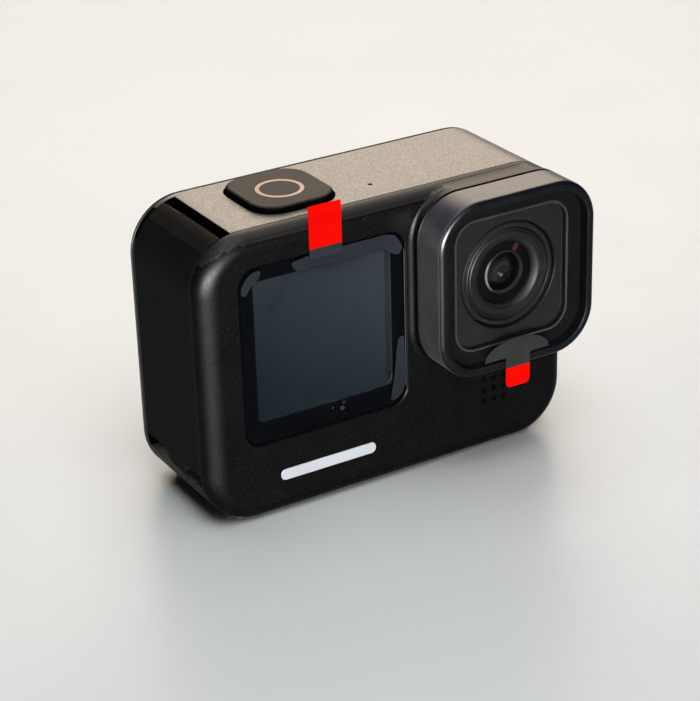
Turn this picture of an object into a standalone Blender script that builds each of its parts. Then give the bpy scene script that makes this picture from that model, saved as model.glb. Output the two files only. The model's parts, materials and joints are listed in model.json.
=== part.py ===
"""Action camera with a twist-off lens cover, a side door and two folding mount fingers.

Lengths below are in millimetres. +Z is up, -Y is the front of the camera and +X is its
right side as seen from the front. The body stands on Z = 0.
"""

import math

import bmesh
import bpy
from mathutils import Matrix, Vector

# ---------------------------------------------------------------- driving dimensions
WIDTH = 71.0
HEIGHT = 50.8
FRONT = -8.2  # front face of the body
BACK = 16.8  # back face of the body
CORNER = 9.3  # corner radius of the body seen from the front
WALL = 1.8
SEAM = 0.15  # gap between two shells that meet
SHELL_REAR = -5.0  # where the front shell meets the middle housing
HOUSING_REAR = 15.3

COLLAR_FRONT = -9.8
LENS_X, LENS_Z = 19.65, 34.95
COVER = (4.1, 35.2, 19.3, 50.6)  # x0, x1, z0, z1
COVER_CORNER = 7.8
COVER_FRONT = -16.6

SCREEN = (-28.4, 2.7, 13.65, 45.4)
SCREEN_CORNER = 3.2

DOOR_EDGE = -28.95  # where the side door ends on the top
DOOR_BOTTOM = 9.45
DOOR_Y = (-4.7, 14.15)
DOOR_PIVOT = (-30.0, 48.65)
LIP_TOP = 6.9

BUTTON = (-20.35, -5.25, -2.45, 13.6)  # x0, x1, y0, y1
BUTTON_TOP = 51.8
BUTTON_TRAVEL = 0.5

FINGER_X = 3.0
FINGER_Z = 2.1
FINGER_Y = 5.2
FINGER_LENGTH = 18.0

MM = 0.001

# ---------------------------------------------------------------- scene and materials
for old in list(bpy.data.objects):
    bpy.data.objects.remove(old, do_unlink=True)
for old in list(bpy.data.meshes):
    bpy.data.meshes.remove(old)
for old in list(bpy.data.materials):
    bpy.data.materials.remove(old)

FINISHES = {
    "moulded_black": ((0.012, 0.012, 0.012), 0.55, 0.0, 0.0),
    "door_black": ((0.010, 0.010, 0.009), 0.5, 0.0, 0.0),
    "cover_black": ((0.010, 0.010, 0.016), 0.32, 0.0, 0.0),
    "rubber_black": ((0.015, 0.015, 0.015), 0.85, 0.0, 0.0),
    "screen_glass": ((0.02, 0.03, 0.045), 0.08, 0.0, 0.0),
    "clear_glass": ((0.8, 0.82, 0.84), 0.03, 0.0, 1.0),
    "clear_film": ((0.75, 0.78, 0.82), 0.25, 0.0, 0.9),
    "red_film": ((0.9, 0.02, 0.01), 0.45, 0.0, 0.0),
    "lens_black": ((0.02, 0.02, 0.018), 0.4, 0.0, 0.0),
    "lens_glass": ((0.05, 0.06, 0.05), 0.02, 0.0, 0.6),
    "badge_grey": ((0.6, 0.6, 0.62), 0.5, 0.0, 0.0),
    "steel": ((0.55, 0.55, 0.56), 0.3, 1.0, 0.0),
    "aluminium": ((0.6, 0.6, 0.6), 0.45, 1.0, 0.0),
    "board_green": ((0.01, 0.09, 0.04), 0.5, 0.0, 0.0),
    "cell_blue": ((0.02, 0.05, 0.13), 0.5, 0.0, 0.0),
    "gold_contact": ((0.8, 0.55, 0.2), 0.3, 1.0, 0.0),
    "display_dark": ((0.015, 0.02, 0.025), 0.2, 0.0, 0.0),
    "light_pipe": ((0.7, 0.7, 0.7), 0.3, 0.0, 0.4),
}


def material(name):
    found = bpy.data.materials.get(name)
    if found:
        return found
    colour, roughness, metallic, transmission = FINISHES[name]
    made = bpy.data.materials.new(name)
    made.use_nodes = True
    shader = made.node_tree.nodes["Principled BSDF"]
    shader.inputs["Base Color"].default_value = (*colour, 1.0)
    shader.inputs["Roughness"].default_value = roughness
    shader.inputs["Metallic"].default_value = metallic
    shader.inputs["Transmission Weight"].default_value = transmission
    made.diffuse_color = (*colour, 1.0)
    return made


# ---------------------------------------------------------------- shape helpers
def rounded(a0, a1, b0, b1, r, n=6):
    """A rounded rectangle as 4 * (n + 1) points, anticlockwise."""
    points = []
    for ca, cb, start in (
        (a1 - r, b1 - r, 0),
        (a0 + r, b1 - r, 90),
        (a0 + r, b0 + r, 180),
        (a1 - r, b0 + r, 270),
    ):
        for k in range(n + 1):
            t = math.radians(start + 90 * k / n)
            points.append((ca + r * math.cos(t), cb + r * math.sin(t)))
    return points


def grown(box, by):
    a0, a1, b0, b1 = box
    return (a0 - by, a1 + by, b0 - by, b1 + by)


def circle(a, b, r, n=24, phase=0.5):
    return [
        (a + r * math.cos((k + phase) * math.tau / n), b + r * math.sin((k + phase) * math.tau / n))
        for k in range(n)
    ]


def lugged(a, b, r, lug_r, half, n=36):
    """A circle that stands out to lug_r in three sectors of half degrees either side."""
    points = []
    for k in range(n):
        deg = (k + 0.5) * 360 / n
        near = min(abs((deg - s + 180) % 360 - 180) for s in (90, 210, 330))
        rad = lug_r if near <= half else r
        t = math.radians(deg)
        points.append((a + rad * math.cos(t), b + rad * math.sin(t)))
    return points


def lift(axis, point, w):
    a, b = point
    return {"X": (w, a, b), "Y": (a, w, b), "Z": (a, b, w)}[axis]


def solid(name, axis, loops, finish, closed=False, origin=(0, 0, 0)):
    """A solid skinned through loops of (outline, position along the axis).

    Closed joins the last loop back to the first one, otherwise both ends are capped.
    """
    mesh = bmesh.new()
    base = Vector(origin)
    rings = [
        [mesh.verts.new((Vector(lift(axis, p, w)) - base) * MM) for p in outline]
        for outline, w in loops
    ]
    pairs = list(zip(rings, rings[1:]))
    if closed:
        pairs.append((rings[-1], rings[0]))
    for low, high in pairs:
        count = len(low)
        for k in range(count):
            mesh.faces.new((low[k], low[(k + 1) % count], high[(k + 1) % count], high[k]))
    if not closed:
        mesh.faces.new(list(reversed(rings[0])))
        mesh.faces.new(rings[-1])
    bmesh.ops.recalc_face_normals(mesh, faces=mesh.faces)
    data = bpy.data.meshes.new(name)
    mesh.to_mesh(data)
    mesh.free()
    obj = bpy.data.objects.new(name, data)
    obj.location = base * MM
    bpy.context.scene.collection.objects.link(obj)
    data.materials.append(material(finish))
    return obj


def block(name, x, y, z, finish, r=0.0, n=2, axis="Z", origin=(0, 0, 0)):
    """A box, with its edges along the axis rounded by r."""
    spans = {"X": (y, z, x), "Y": (x, z, y), "Z": (x, y, z)}[axis]
    (a0, a1), (b0, b1), (w0, w1) = spans
    if r:
        outline = rounded(a0, a1, b0, b1, r, n)
    else:
        outline = [(a1, b1), (a0, b1), (a0, b0), (a1, b0)]
    return solid(name, axis, [(outline, w0), (outline, w1)], finish, origin=origin)


def disc(name, axis, a, b, r, w0, w1, finish, n=24, origin=(0, 0, 0)):
    outline = circle(a, b, r, n)
    return solid(name, axis, [(outline, w0), (outline, w1)], finish, origin=origin)


def turned(name, profile, finish, closed=True, n=24, centre=(LENS_X, LENS_Z), origin=(0, 0, 0)):
    """A body turned about a line along Y, from (radius, y) pairs."""
    loops = [(circle(*centre, r, n), y) for r, y in profile]
    return solid(name, "Y", loops, finish, closed, origin)


def combine(target, others, how):
    """Joins the others to the target, or cuts them from it, and removes them."""
    for k, other in enumerate(others):
        step = target.modifiers.new(f"{how.lower()}_{k}", "BOOLEAN")
        step.operation = how
        step.solver = "EXACT"
        step.object = other
    bpy.context.view_layer.update()
    graph = bpy.context.evaluated_depsgraph_get()
    made = bpy.data.meshes.new_from_object(target.evaluated_get(graph))
    old = target.data
    finish = old.materials[0]
    target.modifiers.clear()
    target.data = made
    made.name = target.name
    made.materials.clear()
    made.materials.append(finish)
    bpy.data.meshes.remove(old)
    for other in others:
        bpy.data.objects.remove(other, do_unlink=True)
    return target


def cut(target, *cutters):
    return combine(target, cutters, "DIFFERENCE")


def join(target, *others):
    return combine(target, others, "UNION")


def ride(leader, *followers):
    """Parents the followers to the leader without moving them."""
    bpy.context.view_layer.update()
    for piece in followers:
        piece.parent = leader
        piece.matrix_parent_inverse = leader.matrix_world.inverted()


# ---------------------------------------------------------------- casing
X0, X1 = -WIDTH / 2, WIDTH / 2
BODY = rounded(X0, X1, 0, HEIGHT, CORNER)
INNER = rounded(X0 + WALL, X1 - WALL, WALL, HEIGHT - WALL, CORNER - WALL)


def filleted(y_flat, y_end, inset_x, inset_z, steps=4):
    """Loops of the body's outline that curve in from y_flat to y_end."""
    loops = []
    for k in range(steps + 1):
        t = math.radians(90 * k / steps)
        dx, dz = inset_x * (1 - math.cos(t)), inset_z * (1 - math.cos(t))
        outline = rounded(X0 + dx, X1 - dx, dz, HEIGHT - dz, CORNER - (dx + dz) / 2)
        loops.append((outline, y_flat + (y_end - y_flat) * math.sin(t)))
    return loops


front_shell = solid(
    "front_shell",
    "Y",
    [(BODY, SHELL_REAR), *filleted(SHELL_REAR - 0.2, FRONT, 3.6, 2.7)],
    "moulded_black",
)
collar_outline = rounded(*COVER, COVER_CORNER, 8)
collar_small = rounded(*grown(COVER, -0.3), COVER_CORNER - 0.3, 8)
join(
    front_shell,
    solid(
        "collar",
        "Y",
        [(collar_outline, SHELL_REAR - 0.07), (collar_outline, COLLAR_FRONT + 0.3), (collar_small, COLLAR_FRONT)],
        "moulded_black",
    ),
)
cut(front_shell, solid("tray", "Y", [(INNER, -6.8), (INNER, -4.0)], "moulded_black"))
screen_step = rounded(*grown(SCREEN, -1.2), SCREEN_CORNER - 1.2, 3)
cut(
    front_shell,
    solid("screen_recess", "Y", [(rounded(*SCREEN, SCREEN_CORNER, 4), -7.2), (rounded(*SCREEN, SCREEN_CORNER, 4), -9.0)], "moulded_black"),
    solid("screen_opening", "Y", [(screen_step, -6.0), (screen_step, -7.6)], "moulded_black"),
    disc("lens_opening", "Y", LENS_X, LENS_Z, 9.6, -4.0, -11.0, "moulded_black", 36),
    solid("badge_recess", "Y", [(rounded(-22.3, -3.7, 6.0, 8.2, 1.0, 3), -7.85), (rounded(-22.3, -3.7, 6.0, 8.2, 1.0, 3), -9.0)], "moulded_black"),
    disc("pin_socket", "Y", *DOOR_PIVOT, 0.45, -5.75, -4.0, "moulded_black", 10),
)
for column in range(3):
    cut(
        front_shell,
        *[
            disc("sound_hole", "Y", 18.3 + 2.05 * column, 9.5 + 2.05 * row, 0.5, -6.0, -9.0, "moulded_black", 8)
            for row in range(3)
        ],
    )

mid_housing = solid(
    "mid_housing",
    "Y",
    [(BODY, SHELL_REAR + SEAM), (BODY, HOUSING_REAR), (INNER, HOUSING_REAR), (INNER, SHELL_REAR + SEAM)],
    "moulded_black",
    closed=True,
)
door_gap = [(-27.9, 53.0), (-40.0, 53.0), (-40.0, LIP_TOP), (-30.0, LIP_TOP), (-30.0, 40.0), (-27.3, 48.0), (-27.86, 51.0)]
cut(
    mid_housing,
    solid("door_gap", "Y", [(door_gap, -6.0), (door_gap, 14.3)], "moulded_black"),
    block("shutter_opening", (-20.5, -5.1), (-2.6, 13.75), (47.0, 53.0), "moulded_black", 4.75, 5),
    disc("mic_hole", "Z", 1.44, 0.24, 0.4, 47.0, 53.0, "moulded_black", 8),
    block("mount_opening", (-22.6, 22.6), (-2.9, 13.3), (-1.0, 3.0), "moulded_black", 2.0, 3),
    block("mode_opening", (32.0, 37.0), (0.0, 6.0), (24.8, 37.2), "moulded_black", 3.0, 4, "X"),
    disc("pin_socket", "Y", *DOOR_PIVOT, 0.45, 14.0, 15.05, "moulded_black", 10),
)

rear_opening = (-32.1, 32.1, 3.1, 47.7)
rear_step = rounded(*grown(rear_opening, -1.2), 4.1)
rear_window = rounded(*rear_opening, 5.3)
rear_frame = solid(
    "rear_frame",
    "Y",
    [(rear_step, HOUSING_REAR + SEAM), (BODY, HOUSING_REAR + SEAM), *filleted(BACK - 1.2, BACK, 1.2, 1.2, 3), (rear_window, BACK), (rear_window, 15.85), (rear_step, 15.85)],
    "moulded_black",
    closed=True,
)

badge_plate = solid(
    "badge_plate", "Y", [(rounded(-22.18, -3.82, 6.12, 8.08, 0.88, 3), -7.95), (rounded(-22.18, -3.82, 6.12, 8.08, 0.88, 3), -8.2)], "badge_grey"
)


# ---------------------------------------------------------------- side door
def corner_point(degrees, radius):
    """A point of the top left corner, in degrees round from straight up."""
    t = math.radians(degrees)
    return (X0 + CORNER - radius * math.sin(t), HEIGHT - CORNER + radius * math.cos(t))


edge_angle = math.degrees(math.asin((X0 + CORNER - DOOR_EDGE) / CORNER))
door_angles = (edge_angle, 30, 45, 60, 75, 90)
door_section = [corner_point(a, CORNER) for a in door_angles]
door_section += [(X0, DOOR_BOTTOM), (X0 + 1.6, DOOR_BOTTOM + 0.5)]
door_section += [corner_point(a, CORNER - 1.6) for a in reversed(door_angles)]
pivot = (DOOR_PIVOT[0], 0.0, DOOR_PIVOT[1])
side_door = solid("side_door", "Y", [(door_section, DOOR_Y[0]), (door_section, DOOR_Y[1])], "door_black", origin=pivot)
join(side_door, disc("knuckle", "Y", *DOOR_PIVOT, 1.15, DOOR_Y[0] + 0.3, DOOR_Y[1] - 0.3, "door_black", 16))
cut(
    side_door,
    disc("pin_bore", "Y", *DOOR_PIVOT, 0.45, DOOR_Y[0] - 1, DOOR_Y[1] + 1, "door_black", 10),
    block("release_notch", (-29.6, -28.0), (8.5, 15.0), (49.9, 52.0), "door_black"),
)
door_hinge_pin = disc("door_hinge_pin", "Y", *DOOR_PIVOT, 0.33, -5.55, 14.9, "steel", 10)

door_seal = solid(
    "door_seal",
    "X",
    [
        (rounded(-3.6, 12.8, 10.4, 41.9, 2.5, 3), -33.75),
        (rounded(-3.6, 12.8, 10.4, 41.9, 2.5, 3), -32.95),
        (rounded(-2.6, 11.8, 11.4, 40.9, 1.5, 3), -32.95),
        (rounded(-2.6, 11.8, 11.4, 40.9, 1.5, 3), -33.75),
    ],
    "rubber_black",
    closed=True,
)
door_latch = block("door_latch", (-33.75, -33.1), (0.6, 9.0), (7.3, 10.1), "door_black", origin=(-33.4, 4.8, 8.7))
join(door_latch, block("thumb_tab", (-34.9, -33.3), (2.0, 7.6), (7.3001, 9.0), "door_black"))


def coil(name, start, turns, radius, wire, length, finish, round_steps=9, wire_steps=5):
    """A coil spring along +Y."""
    mesh = bmesh.new()
    rings = []
    total = turns * round_steps
    for k in range(total + 1):
        t = math.tau * k / round_steps
        centre = Vector((radius * math.cos(t), length * k / total, radius * math.sin(t)))
        out = Vector((math.cos(t), 0, math.sin(t)))
        rings.append(
            [
                mesh.verts.new((Vector(start) + centre + out * wire * math.cos(s) + Vector((0, wire * math.sin(s), 0))) * MM)
                for s in (math.tau * j / wire_steps for j in range(wire_steps))
            ]
        )
    for low, high in zip(rings, rings[1:]):
        for j in range(wire_steps):
            mesh.faces.new((low[j], low[(j + 1) % wire_steps], high[(j + 1) % wire_steps], high[j]))
    mesh.faces.new(list(reversed(rings[0])))
    mesh.faces.new(rings[-1])
    bmesh.ops.recalc_face_normals(mesh, faces=mesh.faces)
    data = bpy.data.meshes.new(name)
    mesh.to_mesh(data)
    mesh.free()
    obj = bpy.data.objects.new(name, data)
    bpy.context.scene.collection.objects.link(obj)
    data.materials.append(material(finish))
    return obj


door_latch_spring = coil("door_latch_spring", (-33.42, 11.25, 8.4), 4, 0.22, 0.08, 2.0, "steel")
ride(side_door, door_seal, door_latch, door_latch_spring)

# ---------------------------------------------------------------- battery bay
battery_bay = block("battery_bay", (-32.3, 9.4), (-3.0, 11.4), (5.5, 41.1), "moulded_black")
cut(
    battery_bay,
    block("bay_space", (-34.0, 8.6), (-2.2, 10.6), (6.3, 40.3), "moulded_black"),
    block("contact_gap", (8.0, 10.0), (0.8, 7.2), (9.8, 16.2), "moulded_black"),
)
battery_outline = rounded(-1.9, 10.3, 6.6, 40.0, 1.5, 2)
battery_small = rounded(-1.4, 9.8, 7.1, 39.5, 1.0, 2)
battery = solid(
    "battery",
    "X",
    [(battery_small, -31.9), (battery_outline, -31.4), (battery_outline, 7.6), (battery_small, 8.1)],
    "cell_blue",
)
battery_pull_tab = block("battery_pull_tab", (-32.5, -32.05), (1.6, 6.8), (12.0, 20.0), "badge_grey", 1.5, 2, "X")
battery_contacts = block("battery_contacts", (8.25, 10.6), (1.0, 7.0), (10.0, 16.0), "gold_contact")

usb_outer = rounded(-1.4, 7.6, 41.75, 45.0, 1.6, 3)
usb_inner = rounded(-1.1, 7.3, 42.05, 44.7, 1.3, 3)
usb_c_port = solid("usb_c_port", "X", [(usb_inner, -25.4), (usb_inner, -31.6), (usb_outer, -31.6), (usb_outer, -24.4)], "steel")
join(usb_c_port, block("usb_tongue", (-31.0, -25.0), (0.0, 6.2), (43.05, 43.75), "steel"))

card_slot = block("card_slot", (-27.5, -12.2), (-0.6, 11.4), (45.3, 46.9), "steel")
cut(card_slot, block("card_space", (-29.0, -12.5), (-0.3, 11.1), (45.48, 46.72), "steel"))
microsd_card = block("microsd_card", (-28.3, -13.4), (-0.1, 10.9), (45.6, 46.6), "rubber_black", 0.5, 1)

# ---------------------------------------------------------------- electronics
board_holes = ((12.3, 42.2), (29.8, 9.0))
main_board = block("main_board", (10.1, 32.0), (9.6, 10.6), (6.5, 44.5), "board_green", 1.5, 2, "Y")
cut(main_board, *[disc("screw_hole", "Y", *at, 0.75, 9.0, 11.5, "board_green", 12) for at in board_holes])
processor_shield = block("processor_shield", (12.0, 27.0), (7.2, 9.45), (12.0, 27.0), "aluminium", 1.0, 2, "Y")


def screw(name, x, z):
    """A small pan-head screw that goes in towards +Y."""
    made = solid(
        name,
        "Y",
        [(circle(x, z, 0.95, 12), 8.55), (circle(x, z, 1.25, 12), 8.8), (circle(x, z, 1.25, 12), 9.45), (circle(x, z, 0.6, 12), 9.45), (circle(x, z, 0.6, 12), 11.7), (circle(x, z, 0.4, 12), 11.9)],
        "steel",
    )
    return cut(made, disc("hex", "Y", x, z, 0.5, 8.0, 9.05, "steel", 6))


board_screw_upper = screw("board_screw_upper", *board_holes[0])
board_screw_lower = screw("board_screw_lower", *board_holes[1])
heat_spreader = block("heat_spreader", (-30.0, 8.9), (-3.75, -3.25), (10.0, 46.0), "aluminium", 2.0, 2, "Y")
speaker_module = block("speaker_module", (14.0, 26.5), (-6.1, -2.2), (7.6, 16.4), "rubber_black", 2.0, 2, "Y")
speaker_mesh = block("speaker_mesh", (16.9, 23.8), (-6.65, -6.35), (8.1, 15.0), "steel", 1.0, 2, "Y")
top_microphone = block("top_microphone", (-0.2, 3.1), (-1.4, 1.9), (47.3, 48.7), "steel")

# ---------------------------------------------------------------- screens and lights
glass_outline = rounded(*grown(SCREEN, -0.12), SCREEN_CORNER - 0.12, 4)
front_screen_glass = solid("front_screen_glass", "Y", [(glass_outline, -7.3), (glass_outline, -8.15)], "screen_glass")
front_display_panel = block("front_display_panel", (-26.8, 0.9), (-7.1, -4.4), (17.4, 43.8), "display_dark", 1.5, 2, "Y")
front_status_light = disc("front_status_light", "Y", -10.08, 16.1, 0.6, -7.1, -5.0, "light_pipe", 12)
rear_glass_outline = rounded(*grown(rear_opening, -0.15), 5.15)
rear_touch_glass = solid("rear_touch_glass", "Y", [(rear_glass_outline, 16.0), (rear_glass_outline, 16.72)], "screen_glass")
rear_display_panel = block("rear_display_panel", (-25.5, 25.5), (12.4, 15.2), (9.5, 42.0), "display_dark")
rear_status_light = disc("rear_status_light", "Y", 28.6, 44.3, 0.6, 13.0, 15.8, "light_pipe", 12)

film_outline = rounded(-28.1, 2.4, 13.95, 45.1, 3.0, 4)
screen_film = solid("screen_film", "Y", [(film_outline, -8.32), (film_outline, -8.42)], "clear_film")


def strip(name, path, half, x0, x1, finish):
    """A thin strip that follows a path of (y, z) and lies between x0 and x1."""
    left, right = [], []
    for k, here in enumerate(path):
        before = Vector(path[max(k - 1, 0)])
        after = Vector(path[min(k + 1, len(path) - 1)])
        along = (after - before).normalized()
        side = Vector((-along.y, along.x)) * half
        left.append(tuple(Vector(here) + side))
        right.append(tuple(Vector(here) - side))
    section = left + list(reversed(right))
    return solid(name, "X", [(section, x0), (section, x1)], finish)


tab_path = [(-8.56, 43.0), (-8.56, 46.2), (-8.56, 50.6), (-8.62, 51.6), (-8.6, 52.6), (-8.46, 53.5)]
screen_film_tab = strip("screen_film_tab", tab_path, 0.06, -15.5, -9.45, "red_film")

# ---------------------------------------------------------------- mount
mount_tray = block("mount_tray", (-22.4, 22.4), (-2.7, 13.1), (0.1, 5.2), "moulded_black", 1.8, 3)
cut(
    mount_tray,
    block("tray_space", (-21.7, 21.7), (-2.0, 12.4), (-1.0, 4.5), "moulded_black", 1.1, 2),
    disc("pin_hole_left", "Y", -FINGER_X, FINGER_Z, 0.6, -2.5, 12.9, "moulded_black", 10),
    disc("pin_hole_right", "Y", FINGER_X, FINGER_Z, 0.6, -2.5, 12.9, "moulded_black", 10),
)


def finger(name, side):
    """A mount finger, folded flat, that turns about a line along Y at side * FINGER_X."""
    here = side * FINGER_X
    tip = FINGER_LENGTH - 7.0
    outline = [(here, FINGER_Y - 7.0), (here + side * tip, FINGER_Y - 7.0)]
    for k in range(1, 10):
        t = math.radians(-90 + 18 * k)
        outline.append((here + side * (tip + 7.0 * math.cos(t)), FINGER_Y + 7.0 * math.sin(t)))
    outline += [(here + side * tip, FINGER_Y + 7.0), (here, FINGER_Y + 7.0)]
    base = (here, FINGER_Y, FINGER_Z)
    made = solid(name, "Z", [(outline, FINGER_Z - 1.5), (outline, FINGER_Z + 1.5)], "moulded_black", origin=base)
    join(made, disc("knuckle", "Y", here, FINGER_Z, 1.5, FINGER_Y - 6.99, FINGER_Y + 6.99, "moulded_black", 16))
    return cut(
        made,
        disc("pin_bore", "Y", here, FINGER_Z, 0.62, FINGER_Y - 9, FINGER_Y + 9, "moulded_black", 10),
        disc("thumb_screw_hole", "Z", here + side * tip, FINGER_Y, 2.6, -2.0, 6.0, "moulded_black", 20),
    )


folding_finger_left = finger("folding_finger_left", -1)
folding_finger_right = finger("folding_finger_right", 1)
finger_pin_left = disc("finger_pin_left", "Y", -FINGER_X, FINGER_Z, 0.48, -2.4, 12.8, "steel", 10)
finger_pin_right = disc("finger_pin_right", "Y", FINGER_X, FINGER_Z, 0.48, -2.4, 12.8, "steel", 10)

# ---------------------------------------------------------------- lens
lug = 20
ring_loops = [
    (circle(LENS_X, LENS_Z, 8.35, 36), -13.3),
    (circle(LENS_X, LENS_Z, 8.35, 36), -5.8),
    (circle(LENS_X, LENS_Z, 11.8, 36), -5.8),
    (circle(LENS_X, LENS_Z, 11.8, 36), -6.6),
    (circle(LENS_X, LENS_Z, 9.1, 36), -6.6),
    (circle(LENS_X, LENS_Z, 9.1, 36), -11.5),
    (lugged(LENS_X, LENS_Z, 9.18, 10.9, lug), -11.5),
    (lugged(LENS_X, LENS_Z, 9.18, 10.9, lug), -12.3),
    (circle(LENS_X, LENS_Z, 9.1, 36), -12.3),
    (circle(LENS_X, LENS_Z, 9.1, 36), -13.3),
]
bayonet_ring = solid("bayonet_ring", "Y", ring_loops, "lens_black", closed=True)
lens_barrel = turned(
    "lens_barrel",
    [(8.15, 1.5), (8.15, -13.2), (7.3, -13.2), (7.3, -12.5), (7.0, -12.5), (7.0, -13.0), (5.6, -12.4), (5.6, -8.4), (4.6, -8.4), (4.6, -2.5), (3.6, -2.5), (3.6, 1.5)],
    "lens_black",
)
lens_retaining_ring = turned("lens_retaining_ring", [(5.45, -12.0), (5.45, -11.3), (3.8, -11.3), (3.7, -11.5), (4.0, -11.7)], "lens_black")
lens_front_element = turned(
    "lens_front_element",
    [(5.4, -8.6), (5.4, -9.3), (4.9, -9.8), (4.0, -10.4), (3.0, -10.8), (1.9, -11.05), (0.8, -11.18)],
    "lens_glass",
    closed=False,
)
lens_middle_element = turned("lens_middle_element", [(4.4, -5.8), (4.4, -7.4), (3.2, -7.9), (1.5, -8.15)], "lens_glass", closed=False, n=20)
lens_rear_element = turned("lens_rear_element", [(1.5, -2.75), (3.2, -3.0), (4.4, -3.5), (4.4, -5.4)], "lens_glass", closed=False, n=20)
infrared_filter = disc("infrared_filter", "Y", LENS_X, LENS_Z, 3.45, -2.2, -1.6, "clear_glass", 20)
image_sensor = block("image_sensor", (LENS_X - 4.5, LENS_X + 4.5), (2.3, 3.5), (LENS_Z - 3.5, LENS_Z + 3.5), "display_dark")
sensor_board = block("sensor_board", (11.2, 28.1), (3.7, 4.7), (26.5, 43.4), "board_green", 1.5, 2, "Y")

# ---------------------------------------------------------------- lens cover
cover_origin = (LENS_X, -10.0, LENS_Z)
cover_back = COLLAR_FRONT - SEAM
pane = (5.65, 33.65, 20.95, 48.95)
window = (8.65, 30.65, 23.55, 46.35)


def cover_loop(inset):
    return rounded(*grown(COVER, -inset), COVER_CORNER - inset, 8)


cover_loops = [
    (cover_loop(0.25), cover_back),
    (cover_loop(0.0), cover_back - 0.25),
    (cover_loop(0.0), COVER_FRONT + 0.8),
    (cover_loop(0.12), COVER_FRONT + 0.4),
    (cover_loop(0.4), COVER_FRONT + 0.12),
    (cover_loop(0.8), COVER_FRONT),
    (rounded(*pane, 6.2, 8), COVER_FRONT),
    (rounded(*pane, 6.2, 8), -14.5),
    (rounded(*window, 3.6, 8), -14.5),
    (rounded(*window, 3.6, 8), -13.5),
    (circle(LENS_X, LENS_Z, 9.5, 36), -13.5),
    (circle(LENS_X, LENS_Z, 9.5, 36), -12.9),
    (circle(LENS_X, LENS_Z, 12.3, 36), -12.9),
    (circle(LENS_X, LENS_Z, 12.3, 36), -11.2),
    (lugged(LENS_X, LENS_Z, 12.2, 9.7, lug), -11.2),
    (lugged(LENS_X, LENS_Z, 12.2, 9.7, lug), -10.3),
    (circle(LENS_X, LENS_Z, 12.3, 36), -10.3),
    (circle(LENS_X, LENS_Z, 12.3, 36), cover_back),
]
lens_cover_frame = solid("lens_cover_frame", "Y", cover_loops, "cover_black", closed=True, origin=cover_origin)
pane_outline = rounded(*grown(pane, -0.15), 6.05, 6)
lens_cover_glass = solid("lens_cover_glass", "Y", [(pane_outline, -14.6), (pane_outline, -16.5)], "clear_glass", origin=cover_origin)
lens_cover_gasket = turned(
    "lens_cover_gasket", [(12.05, -12.75), (12.05, -12.2), (11.25, -12.2), (11.25, -12.75)], "rubber_black", n=36, origin=cover_origin
)
lens_film_outline = rounded(*grown(pane, -0.4), 5.8, 6)
lens_film = solid("lens_film", "Y", [(lens_film_outline, -16.57), (lens_film_outline, -16.63)], "clear_film", origin=cover_origin)

tongue = [(16.95, 21.3), (16.95, 16.8), (17.25, 16.1), (17.95, 15.8), (20.8, 15.8), (21.5, 16.1), (21.8, 16.8), (21.8, 21.3)]
tongue += [(25.7, 21.5), (24.9, 22.9), (23.4, 23.95), (21.5, 24.6), (19.2, 24.8), (16.9, 24.6), (15.0, 23.95), (13.5, 22.9), (12.7, 21.5)]
lens_film_tab = solid("lens_film_tab", "Y", [(tongue, -16.71), (tongue, -16.8)], "red_film", origin=cover_origin)
ride(lens_cover_frame, lens_cover_glass, lens_cover_gasket, lens_film, lens_film_tab)

# ---------------------------------------------------------------- buttons
bx0, bx1, by0, by1 = BUTTON
button_loops = [
    (rounded(bx0 - 0.85, bx1 + 0.85, by0 - 0.85, by1 + 0.85, 5.4, 5), 47.75),
    (rounded(bx0 - 0.85, bx1 + 0.85, by0 - 0.85, by1 + 0.85, 5.4, 5), 48.55),
    (rounded(*BUTTON, 4.6, 5), 48.55),
    (rounded(*BUTTON, 4.6, 5), BUTTON_TOP - 0.55),
    (rounded(*grown(BUTTON, -0.18), 4.42, 5), BUTTON_TOP - 0.16),
    (rounded(*grown(BUTTON, -0.6), 4.0, 5), BUTTON_TOP),
]
shutter_button = solid("shutter_button", "Z", button_loops, "moulded_black", origin=((bx0 + bx1) / 2, (by0 + by1) / 2, 50.8))
join(shutter_button, disc("plunger", "Z", -10.3, 4.6, 0.8, 47.45, 48.2, "moulded_black", 12))
shutter_seal = solid(
    "shutter_seal",
    "Z",
    [
        (rounded(-21.0, -4.6, -3.1, 14.25, 5.25, 5), 48.65),
        (rounded(-21.0, -4.6, -3.1, 14.25, 5.25, 5), 48.9),
        (rounded(-20.6, -5.0, -2.7, 13.85, 4.85, 5), 48.9),
        (rounded(-20.6, -5.0, -2.7, 13.85, 4.85, 5), 48.65),
    ],
    "rubber_black",
    closed=True,
)
shutter_switch = block("shutter_switch", (-11.8, -8.8), (3.1, 6.1), (45.9, 46.85), "steel")

mode_outer = rounded(-0.6, 6.6, 24.2, 37.8, 3.55, 4)
mode_stem = rounded(0.2, 5.8, 25.0, 37.0, 2.75, 4)
mode_small = rounded(0.4, 5.6, 25.2, 36.8, 2.55, 4)
mode_button = solid(
    "mode_button",
    "X",
    [(mode_outer, 32.5), (mode_outer, 33.25), (mode_stem, 33.25), (mode_stem, 35.2), (mode_small, 35.4)],
    "moulded_black",
    origin=(35.5, 3.0, 31.0),
)
mode_seal = solid(
    "mode_seal",
    "X",
    [
        (rounded(-0.5, 6.5, 24.3, 37.7, 3.45, 4), 33.35),
        (rounded(-0.5, 6.5, 24.3, 37.7, 3.45, 4), 33.6),
        (rounded(-0.1, 6.1, 24.7, 37.3, 3.05, 4), 33.6),
        (rounded(-0.1, 6.1, 24.7, 37.3, 3.05, 4), 33.35),
    ],
    "rubber_black",
    closed=True,
)
mode_switch = block("mode_switch", (30.4, 31.95), (1.2, 4.8), (29.0, 33.0), "steel")

for piece in bpy.data.objects:
    if piece.type == "MESH" and piece.data.materials:
        piece.color = piece.data.materials[0].diffuse_color
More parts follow.
